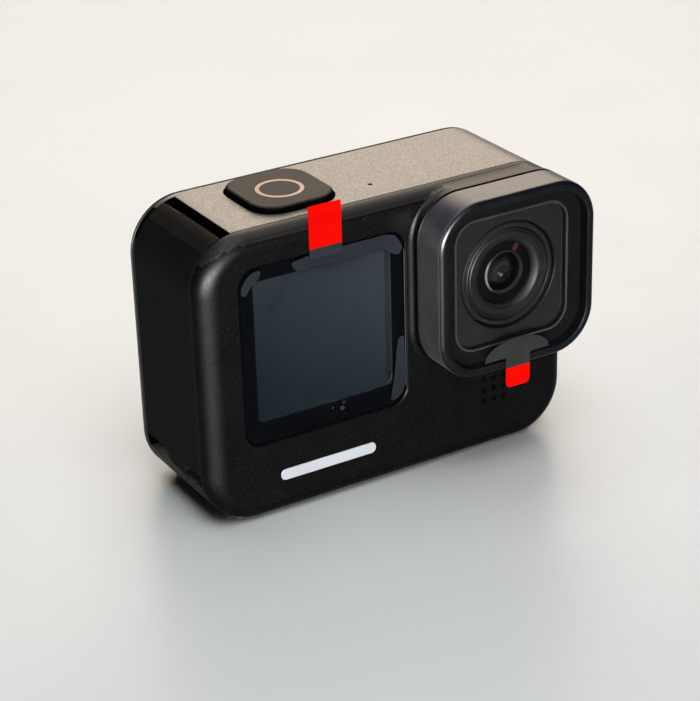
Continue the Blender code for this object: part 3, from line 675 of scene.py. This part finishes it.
collar_loops = [(collar_loop(1.1), SHELL_REAR - 0.12)]
for k in range(7):
    t = math.radians(90 * k / 6)
    collar_loops.append((collar_loop(1.1 * (1 - math.sin(t))), FRONT + 0.02 - 0.75 * (1 - math.cos(t))))
for k in range(5):
    t = math.radians(90 * k / 4)
    collar_loops.append((collar_loop(0.0, 0.32 * (1 - math.cos(t))), -9.48 - 0.32 * math.sin(t)))
join(front_shell, skin("collar", "Y", collar_loops, grain_front))
cut(front_shell, skin("tray", "Y", [(INNER, -6.8), (INNER, -4.0)], grain_front))
screen_hole = rounded(*grown(SCREEN, 0.12), 3.2, 10)
screen_flare = rounded(*grown(SCREEN, 0.30), 3.38, 10)
screen_step = rounded(*grown(SCREEN, -1.08), 2.0, 8)
cut(
    front_shell,
    skin("screen_recess", "Y", [(screen_hole, -7.2), (screen_hole, -8.02), (screen_flare, -8.21), (screen_flare, -9.0)], grain_front),
    skin("screen_opening", "Y", [(screen_step, -6.0), (screen_step, -7.6)], grain_front),
    rod("lens_opening", "Y", *LENS, 9.6, -4.0, -11.0, grain_front, 96),
    skin("badge_recess", "Y", [(rounded(-22.3, -3.7, 6.0, 8.2, 1.0, 8), -7.85), (rounded(-22.3, -3.7, 6.0, 8.2, 1.0, 8), -9.0)], grain_front),
    rod("pin_socket", "Y", *PIVOT, 0.45, -5.75, -4.0, grain_front, 16),
)
for column in range(3):
    cut(
        front_shell,
        *[
            skin(
                "sound_hole",
                "Y",
                [(circle(18.3 + 2.05 * column, 9.5 + 2.05 * row, r, 24), y) for r, y in ((0.56, -6.0), (0.56, -9.0))],
                grain_front,
            )
            for row in range(3)
        ],
    )
# The shell's top faces take the painted-light copies, one copy per band of slope.
for finish in shell_lit_top_steps:
    front_shell.data.materials.append(finish)
for face in front_shell.data.polygons:
    if face.center.z > 0.9 * HEIGHT * MM and face.center.y > -9.4 * MM:
        for k, lean in enumerate((0.94, 0.84, 0.72, 0.58)):
            if face.normal.z > lean:
                face.material_index = k + 1
                break
finished(front_shell, "root", "front_shell")

door_gap = [(-27.6, 53.0), (-40.0, 53.0), (-40.0, 6.9), (-30.0, 6.9), (-30.0, 40.0), (-27.2, 48.0), (-27.58, 51.0)]
# The housing's top faces keep the painted-light top material.
housing = skin("housing_middle", "Y", [(BODY, HOUSING[0]), (BODY, HOUSING[1]), (INNER, HOUSING[1]), (INNER, HOUSING[0])], lit_top_grain, closed=True)
cut(
    housing,
    skin("door_gap", "Y", [(door_gap, -6.0), (door_gap, 14.3)], lit_top_grain),
    block("shutter_opening", (-20.7, -4.9), (-2.8, 13.95), (47.0, 53.0), lit_top_grain, 4.95, 14),
    rod("mic_hole", "Z", 1.44, 0.24, 0.4, 47.0, 53.0, lit_top_grain, 20),
    block("mount_opening", (-22.6, 22.6), (-2.9, 13.3), (-1.0, 3.0), lit_top_grain, 2.0, 8),
    block("mode_opening", (32.0, 37.0), (0.0, 6.0), (24.8, 37.2), lit_top_grain, 3.0, 12, "X"),
    rod("pin_socket", "Y", *PIVOT, 0.45, 14.0, 15.05, lit_top_grain, 16),
)
# The door-gap end faces and the side faces by the release notch take the near-black material: painted shade between the
# parts.
housing.data.materials.append(black_and_shade)
housing.data.materials.append(grain_side)
for face in housing.data.polygons:
    side = face.center.x / MM < -27.0 and face.normal.x < -0.5
    end = face.center.x / MM < -27.6 and abs(face.normal.y) > 0.5 and -5.9 < face.center.y / MM < 14.6
    if end or side and 45.0 < face.center.z / MM < 50.75:
        face.material_index = 1
    elif face.normal.z < 0.45:
        face.material_index = 2
finished(housing, "root", "mid_housing", bevel=0.11)

rear_window = (-32.1, 32.1, 3.1, 47.7)
rear_step = rounded(*grown(rear_window, -1.2), 4.1, 14)
rear_hole = rounded(*rear_window, 5.3, 14)
rear_rim = rounded(*grown(rear_window, 0.15), 5.45, 14)
BODY14 = rounded(X0, X1, 0, HEIGHT, CORNER, 14)


def rear_loop(inset):
    return rounded(X0 + inset, X1 - inset, inset, HEIGHT - inset, CORNER - inset, 14)


rear_loops = [(rear_step, 15.45), (rear_loop(0.1), 15.45), (rear_loop(0.0), 15.55)]
for k in range(8):
    t = math.radians(90 * k / 7)
    rear_loops.append((rear_loop(1.2 * (1 - math.cos(t))), BACK - 1.2 + 1.2 * math.sin(t)))
rear_loops += [(rear_rim, BACK), (rear_hole, BACK - 0.15), (rear_hole, 15.85), (rear_step, 15.85)]
finished(skin("frame_rear", "Y", rear_loops, grain_rear, closed=True), "root", "rear_frame")

badge = skin(
    "badge_bar",
    "Y",
    [(rounded(-22.18, -3.82, 6.12, 8.08, 0.88, 8), -7.9), (rounded(-22.18, -3.82, 6.12, 8.08, 0.88, 8), -8.16), (rounded(-22.12, -3.88, 6.18, 8.02, 0.82, 8), -8.2)],
    badge_paint,
)
finished(badge, "root", "badge_plate")


# ================================================================ side door
def corner_point(degrees, radius):
    t = math.radians(degrees)
    return (X0 + CORNER - radius * math.sin(t), HEIGHT - CORNER + radius * math.cos(t))


edge_angle = math.degrees(math.asin((X0 + CORNER + 29.4) / CORNER))
steps = 18
door_angles = [edge_angle + (90 - edge_angle) * k / steps for k in range(steps + 1)]
door_section = [corner_point(a, CORNER) for a in door_angles]
door_section += [(X0, 9.45), (X0 + 1.6, 9.95)]
door_section += [corner_point(a, CORNER - 1.6) for a in reversed(door_angles)]
door = skin("door_side", "Y", [(door_section, -4.7), (door_section, 14.15)], door_plastic)
join(door, rod("knuckle", "Y", *PIVOT, 1.15, -4.4, 13.85, door_plastic, 40))
cut(
    door,
    rod("pin_bore", "Y", *PIVOT, 0.45, -5.7, 15.15, door_plastic, 20),
    block("release_notch", (-29.6, -28.0), (8.5, 15.0), (49.9, 52.0), door_plastic),
)
door.data.materials.append(door_lit_top)
# The door's inward faces near its top take the near-black material: painted shade in the gap.
door.data.materials.append(black_and_shade)
for face in door.data.polygons:
    if face.normal.z > 0.72 and abs(face.normal.y) < 0.5:
        face.material_index = 1
    elif face.center.z / MM > 45.0 and face.normal.x > 0.3:
        face.material_index = 2
finished(door, "door", "side_door", bevel=0.14)

# ================================================================ lens cover
PANE = (5.65, 33.65, 20.95, 48.95)
WINDOW = (8.65, 30.65, 23.55, 46.35)
N = 23  # (N + 1) * 4 points, as many as the circles have


def cover_loop(inset):
    return rounded(*grown(COVER, -inset), CR - inset, N)


cover_loops = [(cover_loop(0.28), COVER_BACK), (cover_loop(0.1), COVER_BACK - 0.08), (cover_loop(0.0), COVER_BACK - 0.3), (cover_loop(0.0), COVER_FRONT + 0.85)]
for k in range(1, 8):
    t = math.radians(90 * k / 7)
    cover_loops.append((cover_loop(0.85 * (1 - math.cos(t))), COVER_FRONT + 0.85 - 0.85 * math.sin(t)))


def pane_loop(inset, n=N):
    return rounded(*grown(PANE, -inset), 6.2 - inset, n)


def window_loop(by, n=N):
    return rounded(*grown(WINDOW, by), 3.6 + by, n)


cover_loops += [
    (pane_loop(-0.14), COVER_FRONT),
    (pane_loop(-0.04), COVER_FRONT + 0.05),
    (pane_loop(0.0), COVER_FRONT + 0.16),
    (pane_loop(0.0), -14.5),
    (window_loop(0.22), -14.5),
    (window_loop(0.06), -14.44),
    (window_loop(0.0), -14.28),
    (window_loop(0.0), -13.5),
    (circle(*LENS, 9.62), -13.5),
    (circle(*LENS, 9.5), -13.38),
    (circle(*LENS, 9.5), -12.9),
    (circle(*LENS, 12.3), -12.9),
    (circle(*LENS, 12.3), -11.2),
    (lugged(*LENS, 12.2, 9.7, 20), -11.2),
    (lugged(*LENS, 12.2, 9.7, 20), -10.3),
    (circle(*LENS, 12.3), -10.3),
    (circle(*LENS, 12.3), COVER_BACK),
]
cover = skin("cover_frame", "Y", cover_loops, cover_plastic, closed=True)
cover.data.materials.append(cover_rim_shade)
cover.data.materials.append(cover_recess_shade)
# Faces inside the window take the darkest copy, and the front rim and pane recess take the darker one: painted shade.
for face in cover.data.polygons:
    off_x, off_z = face.center.x / MM - LENS[0], face.center.z / MM - LENS[1]
    outward = face.normal.x * off_x + face.normal.z * off_z > 1.0
    inside = abs(off_x) < 14.6 and abs(off_z) < 14.6 and not outward
    if inside and face.center.y > -14.9 * MM:
        face.material_index = 2
    elif inside or face.center.y < (COVER_FRONT + 0.42) * MM:
        face.material_index = 1
finished(cover, "lens_cover", "lens_cover_frame")

pane = skin(
    "cover_pane",
    "Y",
    [(pane_loop(0.15), -14.6), (pane_loop(0.15), -16.36), (pane_loop(0.19), -16.46), (pane_loop(0.29), -16.5)],
    glass_clear,
)
finished(pane, "lens_cover", "lens_cover_glass")

# a thin pale strip on the inner window's edge: a painted highlight
window_highlight = skin(
    "cover_window_edge_highlight",
    "Y",
    [(window_loop(0.40), -14.515), (window_loop(0.38), -14.58), (window_loop(0.06), -14.58), (window_loop(0.02), -14.515)],
    window_edge_highlight,
    closed=True,
)
finished(window_highlight, "lens_cover", None)

lining = skin(
    "cover_window_floor",
    "Y",
    [(window_loop(-0.04), -13.51), (window_loop(-0.04), -13.56), (circle(*LENS, 9.66), -13.56), (circle(*LENS, 9.66), -13.51)],
    lens_plastic,
    closed=True,
)
finished(lining, "lens_cover", None)

step_line = skin(
    "cover_step_line",
    "Y",
    [(window_loop(-0.06), -13.565), (window_loop(-0.06), -13.59), (window_loop(-0.24), -13.59), (window_loop(-0.24), -13.565)],
    line_shaded,
    closed=True,
)
finished(step_line, "lens_cover", None)
gasket = turned("cover_gasket", [(12.05, -12.75), (12.05, -12.2), (11.25, -12.2), (11.25, -12.75)], rubber, ease=0.12)
finished(gasket, "lens_cover", "lens_cover_gasket")

# ================================================================ lens
bayonet_loops = [
    (circle(*LENS, 8.43), -13.3),
    (circle(*LENS, 8.35), -13.22),
    (circle(*LENS, 8.35), -5.8),
    (circle(*LENS, 11.8), -5.8),
    (circle(*LENS, 11.8), -6.6),
    (circle(*LENS, 9.1), -6.6),
    (circle(*LENS, 9.1), -11.5),
    (lugged(*LENS, 9.18, 10.9, 20), -11.5),
    (lugged(*LENS, 9.18, 10.9, 20), -12.3),
    (circle(*LENS, 9.1), -12.3),
    (circle(*LENS, 9.1), -13.2),
    (circle(*LENS, 9.0), -13.3),
]
finished(skin("lens_bayonet", "Y", bayonet_loops, lens_plastic, closed=True), "root", "bayonet_ring")

barrel_profile = [
    (8.15, 1.5), (8.15, -12.95), (7.95, -13.1), (7.6, -13.0), (7.4, -13.2), (6.35, -13.2), (5.9, -12.75), (5.6, -12.3),
    (5.6, -8.4), (4.6, -8.4), (4.6, -2.5), (3.6, -2.5), (3.6, 1.5),
]
finished(turned("lens_tube", barrel_profile, tube_black, ease=0.06), "root", "lens_barrel")
keeper = turned("lens_keeper", [(5.45, -12.0), (5.45, -11.3), (3.8, -11.3), (3.5, -11.6), (3.5, -12.3), (3.76, -12.3), (3.84, -12.04)], keeper_black, ease=0.03)
finished(keeper, "root", "lens_retaining_ring")


def dome(name, rim, sag, back, front, finish, n=64, rings=14, concave_back=0.0):
    """A lens element: a spherical cap in front of a flat back."""
    radius = (rim * rim + sag * sag) / (2 * sag)
    profile = [(rim, back), (rim, front + sag)]
    for k in range(1, rings + 1):
        r = rim * (1 - k / rings)
        profile.append((max(r, 0.05), front + radius - math.sqrt(radius * radius - r * r)))
    return turned(name, profile, finish, closed=False, n=n)


finished(dome("lens_dome_front", 5.4, 1.85, -8.6, -11.18, lens_glass_coated), "root", "lens_front_element")
finished(dome("lens_dome_middle", 4.4, 0.75, -5.8, -8.15, lens_glass_inner), "root", "lens_middle_element")
rear_dome = turned(
    "lens_dome_rear",
    [(0.05, -2.72), (0.8, -2.74), (1.6, -2.8), (2.4, -2.92), (3.2, -3.08), (3.9, -3.3), (4.4, -3.5), (4.4, -5.4)],
    lens_glass_inner,
    closed=False,
    n=48,
)
finished(rear_dome, "root", "lens_rear_element")

# ================================================================ films
# The films are thin stiff strips with a clear middle. On the screen film, pale sheets over its lifted patches are a
# painted reflection.
film = skin("cover_film", "Y", [(pane_loop(0.4), -16.57), (pane_loop(0.4), -16.60), (pane_loop(0.43), -16.63)], film_clear)
finished(film, "lens_cover", "lens_film")


def plate(name, outline, y0, y1, finish):
    return skin(name, "Y", [(outline, y0), (outline, y1)], finish)


def tongue_arc(n=24):
    """The half-disc that holds the lens film's tab, from right to left over the top."""
    points = []
    for k in range(n + 1):
        t = math.radians(180 * k / n)
        points.append((19.2 + 6.5 * math.cos(t), 21.5 + 3.3 * math.sin(t)))
    return points


grey_outline = [(16.95, 19.45), (21.8, 19.45), (21.8, 21.2), (22.1, 21.5), *tongue_arc(), (16.65, 21.5), (16.95, 21.2)]
tab_grey = plate("cover_film_tongue", grey_outline, -16.71, -16.79, tongue_film)
finished(tab_grey, "lens_cover", None)
red_outline = [(21.8, 19.45), (16.95, 19.45), (16.95, 16.8)]
for k in range(1, 7):
    t = math.radians(180 + 90 * k / 7)
    red_outline.append((17.95 + 1.0 * math.cos(t), 16.8 + 1.0 * math.sin(t)))
red_outline += [(17.95, 15.8), (20.8, 15.8)]
for k in range(1, 7):
    t = math.radians(270 + 90 * k / 7)
    red_outline.append((20.8 + 1.0 * math.cos(t), 16.8 + 1.0 * math.sin(t)))
red_outline += [(21.8, 16.8)]
tab_red = plate("cover_film_tab", red_outline, -16.71, -16.8, red_print)
finished(tab_red, "lens_cover", "lens_film_tab")

FILM = (-28.1, 2.4, 13.95, 45.1)
film_mid = skin("screen_film_sheet", "Y", [(rounded(*FILM, 3.0, 10), -8.32), (rounded(*grown(FILM, -0.02), 2.98, 10), -8.36)], film_clear)
finished(film_mid, "root", "screen_film")


lifted_top = [(-18.9, 44.7), (-15.0, 45.3), (-1.2, 45.35), (0.6, 44.9), (1.5, 43.7), (2.1, 42.4), (1.3, 41.2), (-0.2, 41.9), (-1.4, 42.8), (-3.0, 43.1), (-5.9, 42.6), (-10.4, 42.8), (-15.0, 43.1), (-17.1, 42.7), (-18.4, 43.6)]
lifted_left = [(-28.1, 41.2), (-28.0, 42.4), (-27.2, 43.8), (-26.0, 44.7), (-24.2, 44.9), (-24.7, 43.5), (-26.3, 42.3), (-27.2, 41.0)]
lifted_right = [(2.1, 26.6), (1.0, 26.3), (0.6, 24.1), (0.1, 19.8), (-0.8, 14.9), (0.4, 15.1), (1.6, 16.0), (2.2, 17.4)]
# pale sheets over the lifted film: painted reflection
for k, outline in enumerate((lifted_top, lifted_left, lifted_right)):
    soft = eased(outline, 0.5, 4)
    finished(plate(f"screen_film_lift_reflection_{k}", soft, -8.365, -8.375, film_lift_reflection), "root", None)
# the film's right edge: a painted highlight line
film_rim = plate("screen_film_rim", [(2.28, 17.0), (2.40, 17.0), (2.40, 42.0), (2.28, 42.0)], -8.365, -8.38, highlight_line)
finished(film_rim, "root", None)


def strip(name, path, half, x0, x1, finish):
    left, right = [], []
    for k, here in enumerate(path):
        before = Vector(path[max(k - 1, 0)])
        after = Vector(path[min(k + 1, len(path) - 1)])
        along = (after - before).normalized()
        side = Vector((-along.y, along.x)) * half
        left.append(tuple(Vector(here) + side))
        right.append(tuple(Vector(here) - side))
    return skin(name, "X", [(left + list(reversed(right)), x0), (left + list(reversed(right)), x1)], finish)


lower = [(-8.56, 44.4 + 0.2 * k) for k in range(10)]
upper = [(-8.56, 46.2 + 0.5 * k) for k in range(8)] + [(-8.56, 50.2), (-8.57, 50.6), (-8.60, 51.0), (-8.63, 51.4), (-8.64, 51.8), (-8.63, 52.2), (-8.60, 52.6), (-8.55, 53.0), (-8.50, 53.3), (-8.46, 53.5)]
finished(strip("screen_film_stem", lower, 0.05, -15.5, -9.45, film_edge), "root", None)
finished(strip("screen_film_pull", upper, 0.06, -15.5, -9.45, red_print), "root", "screen_film_tab")

# ================================================================ screen
SCREEN_LOOP = 12
glass = skin(
    "screen_glass_front",
    "Y",
    [
        (rounded(*SCREEN, 3.08, SCREEN_LOOP), -7.3),
        (rounded(*SCREEN, 3.08, SCREEN_LOOP), -8.0),
        (rounded(*grown(SCREEN, -0.05), 3.03, SCREEN_LOOP), -8.11),
        (rounded(*grown(SCREEN, -0.17), 2.91, SCREEN_LOOP), -8.15),
    ],
    glass_screen,
)
finished(glass, "root", "front_screen_glass")
ACTIVE = (-25.4, 0.3, 17.3, 42.5)
mask = skin(
    "screen_mask",
    "Y",
    [(rounded(*grown(SCREEN, -0.02), 3.06, SCREEN_LOOP), -7.22), (rounded(*grown(SCREEN, -0.02), 3.06, SCREEN_LOOP), -7.28), (rounded(*ACTIVE, 0.7, SCREEN_LOOP), -7.28), (rounded(*ACTIVE, 0.7, SCREEN_LOOP), -7.22)],
    black_print,
    closed=True,
)
finished(mask, "root", None)
side_band = plate("screen_side_band", [(0.12, 19.0), (0.12, 41.8), (-0.75, 42.3), (-0.75, 18.6)], -7.20, -7.24, band_dim)
finished(side_band, "root", None)
# a painted highlight along the glass's right edge, ending in a painted glint at its bottom
edge_line = plate("screen_edge_line", [(0.34, 19.2), (0.34, 41.4), (0.12, 41.4), (0.12, 19.4)], -7.281, -7.295, highlight_line)
finished(edge_line, "root", None)
corner_line = plate("screen_corner_line", [(0.34, 19.2), (0.12, 19.4), (-0.02, 18.7), (-0.7, 18.05), (-0.6, 17.8), (0.14, 18.4)], -7.281, -7.295, glint_pale)
finished(corner_line, "root", None)
black_bar = plate("screen_black_bar", [(0.95, 27.0), (2.35, 27.2), (2.35, 41.0), (2.1, 41.9), (0.95, 42.0)], -7.281, -7.29, pure_black)
finished(black_bar, "root", None)
for k, (dot_x, dot_z, dot_r) in enumerate(((-9.6, 15.75, 0.44), (-9.25, 16.75, 0.32), (-11.4, 16.3, 0.2))):
    dot = rod(f"screen_dot_{k}", "Y", dot_x, dot_z, dot_r, -7.295, -7.281, dot_grey, 20)
    finished(dot, "root", None)
panel = block("screen_panel_front", (-26.8, 0.9), (-7.16, -4.4), (17.4, 43.8), display, 1.5, 8, "Y")
finished(panel, "root", "front_display_panel", bevel=0.1)

# ================================================================ rear screen
rear_glass = skin(
    "screen_glass_rear",
    "Y",
    [
        (rounded(*grown(rear_window, -0.15), 5.15, 14), 16.0),
        (rounded(*grown(rear_window, -0.15), 5.15, 14), 16.5),
        (rounded(*grown(rear_window, -0.19), 5.11, 14), 16.66),
        (rounded(*grown(rear_window, -0.34), 4.96, 14), 16.72),
    ],
    glass_rear,
)
finished(rear_glass, "root", "rear_touch_glass")

# ================================================================ shutter button
bx0, bx1, by0, by1 = -20.35, -5.25, -2.45, 13.6
BUTTON_TOP = button_high.z
button_loops = [
    (rounded(bx0 - 0.85, bx1 + 0.85, by0 - 0.85, by1 + 0.85, 5.4, 16), 47.75),
    (rounded(bx0 - 0.85, bx1 + 0.85, by0 - 0.85, by1 + 0.85, 5.4, 16), 48.55),
    (rounded(bx0, bx1, by0, by1, 4.6, 16), 48.55),
    (rounded(bx0, bx1, by0, by1, 4.6, 16), BUTTON_TOP - 0.62),
]
for k in range(1, 9):
    t = math.radians(90 * k / 8)
    by = 0.7 * (1 - math.cos(t))
    button_loops.append((rounded(bx0 + by, bx1 - by, by0 + by, by1 - by, 4.6 - by, 16), BUTTON_TOP - 0.62 + 0.62 * math.sin(t)))
button = skin("button_shutter", "Z", button_loops, button_plastic)
join(button, rod("plunger", "Z", -10.3, 4.6, 0.8, 47.45, 48.2, button_plastic, 24))
# The button's side walls take the near-black material, darker than its top: painted shade.
button.data.materials.append(black_and_shade)
for face in button.data.polygons:
    if face.normal.z < 0.8:
        face.material_index = 1
finished(button, "shutter", "shutter_button")
ring = skin(
    "button_ring",
    "Z",
    [
        (circle(-12.95, 5.1, 4.05, 72), BUTTON_TOP - 0.02),
        (circle(-12.95, 5.1, 4.05, 72), BUTTON_TOP + 0.012),
        (circle(-12.95, 5.1, 3.38, 72), BUTTON_TOP + 0.012),
        (circle(-12.95, 5.1, 3.38, 72), BUTTON_TOP - 0.02),
    ],
    ring_print,
    closed=True,
)
finished(ring, "shutter", None)

# ================================================================ mode button
mode_loops = [
    (rounded(-0.6, 6.6, 24.2, 37.8, 3.55, 12), 32.5),
    (rounded(-0.6, 6.6, 24.2, 37.8, 3.55, 12), 33.25),
    (rounded(0.2, 5.8, 25.0, 37.0, 2.75, 12), 33.25),
    (rounded(0.2, 5.8, 25.0, 37.0, 2.75, 12), 34.95),
]
for k in range(1, 7):
    t = math.radians(90 * k / 6)
    by = 0.45 * (1 - math.cos(t))
    mode_loops.append((rounded(0.2 + by, 5.8 - by, 25.0 + by, 37.0 - by, 2.75 - by, 12), 34.95 + 0.45 * math.sin(t)))
mode = skin("button_mode", "X", mode_loops, button_plastic)
finished(mode, "mode", "mode_button")

# ================================================================ mount fingers
FINGER_X, FINGER_Y, FINGER_Z = 3.0, 5.2, 2.1


def finger(name, side, body, node):
    here = side * FINGER_X
    tip = 11.0
    outline = [(here, FINGER_Y - 7.0), (here + side * tip, FINGER_Y - 7.0)]
    for k in range(1, 30):
        t = math.radians(-90 + 6 * k)
        outline.append((here + side * (tip + 7.0 * math.cos(t)), FINGER_Y + 7.0 * math.sin(t)))
    outline += [(here + side * tip, FINGER_Y + 7.0), (here, FINGER_Y + 7.0)]
    made = skin(name, "Z", [(outline, FINGER_Z - 1.5), (outline, FINGER_Z + 1.5)], finger_plastic)
    join(made, rod("knuckle", "Y", here, FINGER_Z, 1.5, FINGER_Y - 6.99, FINGER_Y + 6.99, finger_plastic, 40))
    cut(
        made,
        rod("pin_bore", "Y", here, FINGER_Z, 0.62, FINGER_Y - 9, FINGER_Y + 9, finger_plastic, 20),
        rod("screw_hole", "Z", here + side * tip, FINGER_Y, 2.6, -2.0, 6.0, finger_plastic, 48),
    )
    return finished(made, body, node, bevel=0.22)


finger("finger_left", -1, "finger_left", "folding_finger_left")
finger("finger_right", 1, "finger_right", "folding_finger_right")

# ================================================================ carried-over nodes
KEPT = {
    "door_hinge_pin": steel,
    "door_seal": rubber,
    "door_latch": black_and_shade,
    "door_latch_spring": steel,
    "battery_bay": tray_plastic,
    "battery": sleeve,
    "battery_pull_tab": badge_paint,
    "battery_contacts": gold,
    "usb_c_port": steel,
    "card_slot": steel,
    "microsd_card": rubber,
    "main_board": board,
    "processor_shield": aluminium,
    "board_screw_upper": steel,
    "board_screw_lower": steel,
    "heat_spreader": aluminium,
    "speaker_module": rubber,
    "speaker_mesh": dark_mesh,
    "top_microphone": aluminium,
    "front_status_light": light_pipe,
    "rear_display_panel": display,
    "rear_status_light": light_pipe,
    "mount_tray": tray_plastic,
    "finger_pin_left": steel,
    "finger_pin_right": steel,
    "infrared_filter": polished("infrared_filter", (0.05, 0.10, 0.09), 0.05, 0.02, specular=0.6),
    "image_sensor": polished("image_sensor", (0.03, 0.02, 0.05), 0.12, 0.03, specular=0.7),
    "sensor_board": board,
    "shutter_seal": rubber,
    "shutter_switch": steel,
    "mode_seal": rubber,
    "mode_switch": steel,
}
for name, finish in KEPT.items():
    data = nodes[name].data
    data.materials.clear()
    data.materials.append(finish)

# ================================================================ camera
camera_data = bpy.data.cameras.new("camera")
camera = bpy.data.objects.new("camera", camera_data)
scene.collection.objects.link(camera)
camera_data.sensor_fit = "HORIZONTAL"
camera_data.sensor_width = 36.0
camera_data.lens = 112.96
camera_data.clip_start = 0.01
camera_data.clip_end = 20.0
azimuth, elevation, roll = math.radians(-30.467), math.radians(25.586), math.radians(-1.743)
back = Vector((math.sin(azimuth) * math.cos(elevation), -math.cos(azimuth) * math.cos(elevation), math.sin(elevation)))
right = Vector((math.cos(azimuth), math.sin(azimuth), 0.0))
up = back.cross(right)
c, s = math.cos(roll), math.sin(roll)
across, along = right * c + up * s, up * c - right * s
place = Vector((-173.696, -289.275, 182.535)) * MM
camera.matrix_world = Matrix(
    (
        (across.x, along.x, back.x, place.x),
        (across.y, along.y, back.y, place.y),
        (across.z, along.z, back.z, place.z),
        (0, 0, 0, 1),
    )
)
scene.camera = camera

# ================================================================ floor and lights
floor_mesh = bmesh.new()
for corner in ((-3.0, -3.0), (3.0, -3.0), (3.0, 3.0), (-3.0, 3.0)):
    floor_mesh.verts.new((corner[0], corner[1], -0.0001))
floor_mesh.faces.new(floor_mesh.verts)
floor_finish = material("floor_white", (0.60, 0.61, 0.615), 0.30, specular=0.5, ior=1.3)
ft = Tree(floor_finish)
ft.rough(ft.spread(ft.noise(40.0, 3.0), 0.3, 0.7, 0.32, 0.36))
ft.bump(ft.noise(0.6, 2.0), 0.004, 0.3)
floor = placed("floor", floor_mesh, floor_finish)


def panel_light(name, place, target, size, power, colour):
    data = bpy.data.lights.new(name, "AREA")
    data.shape = "RECTANGLE"
    data.size, data.size_y = size
    data.energy = power
    data.color = colour
    lamp = bpy.data.objects.new(name, data)
    scene.collection.objects.link(lamp)
    lamp.location = place
    aim = Vector(target) - Vector(place)
    lamp.rotation_euler = aim.to_track_quat("-Z", "Y").to_euler()
    return lamp


def around(azimuth_deg, elevation_deg, distance=1.4):
    """A place round the camera, in degrees from +Y towards +X and up from the floor."""
    a, e = math.radians(azimuth_deg), math.radians(elevation_deg)
    return (distance * math.sin(a) * math.cos(e), distance * math.cos(a) * math.cos(e), distance * math.sin(e))


middle = (0, 0, 0.02)
panel_light("back_window", around(30, 24), middle, (0.8, 0.6), 5.2, (1.0, 0.93, 0.84))
panel_light("back_upper", around(30, 50), middle, (1.0, 0.7), 2.7, (1.0, 0.98, 0.92))
panel_light("overhead", around(0, 88), middle, (1.2, 1.2), 12.2, (0.98, 1.0, 1.0))
panel_light("front_soft", around(-170, 60), middle, (0.8, 0.8), 9.8, (0.98, 1.0, 1.0))
glint = panel_light("left_window", around(-147, 4.5), middle, (1.1, 0.2), 640.0, (1.0, 1.0, 1.0))
glint.visible_diffuse = False
glow = bpy.data.collections.new("glow_receivers")
fill_only = bpy.data.collections.new("fill_receivers")
for piece in list(scene.objects):
    if piece.type == "MESH" and piece is not floor:
        fill_only.objects.link(piece)
        if piece.name not in ("housing_middle", "button_shutter", "button_ring", "screen_film_pull"):
            glow.objects.link(piece)
glint.light_linking.receiver_collection = glow
fill = panel_light("front_fill", around(-165, 32), middle, (0.8, 0.5), 11.2, (0.98, 1.0, 1.0))
fill.light_linking.receiver_collection = fill_only
warm = panel_light("warm_wall", around(28, 26), middle, (0.9, 0.35), 1.8, (1.0, 0.5, 0.12))
warm.visible_diffuse = False

world = bpy.data.worlds.new("studio")
scene.world = world
world.use_nodes = True
world.node_tree.nodes["Background"].inputs["Color"].default_value = (0.80, 0.86, 0.95, 1.0)
world.node_tree.nodes["Background"].inputs["Strength"].default_value = 0.03

scene.view_settings.view_transform = "Standard"
scene.view_settings.look = "None"
scene.view_settings.exposure = 0.0

bpy.context.view_layer.update()
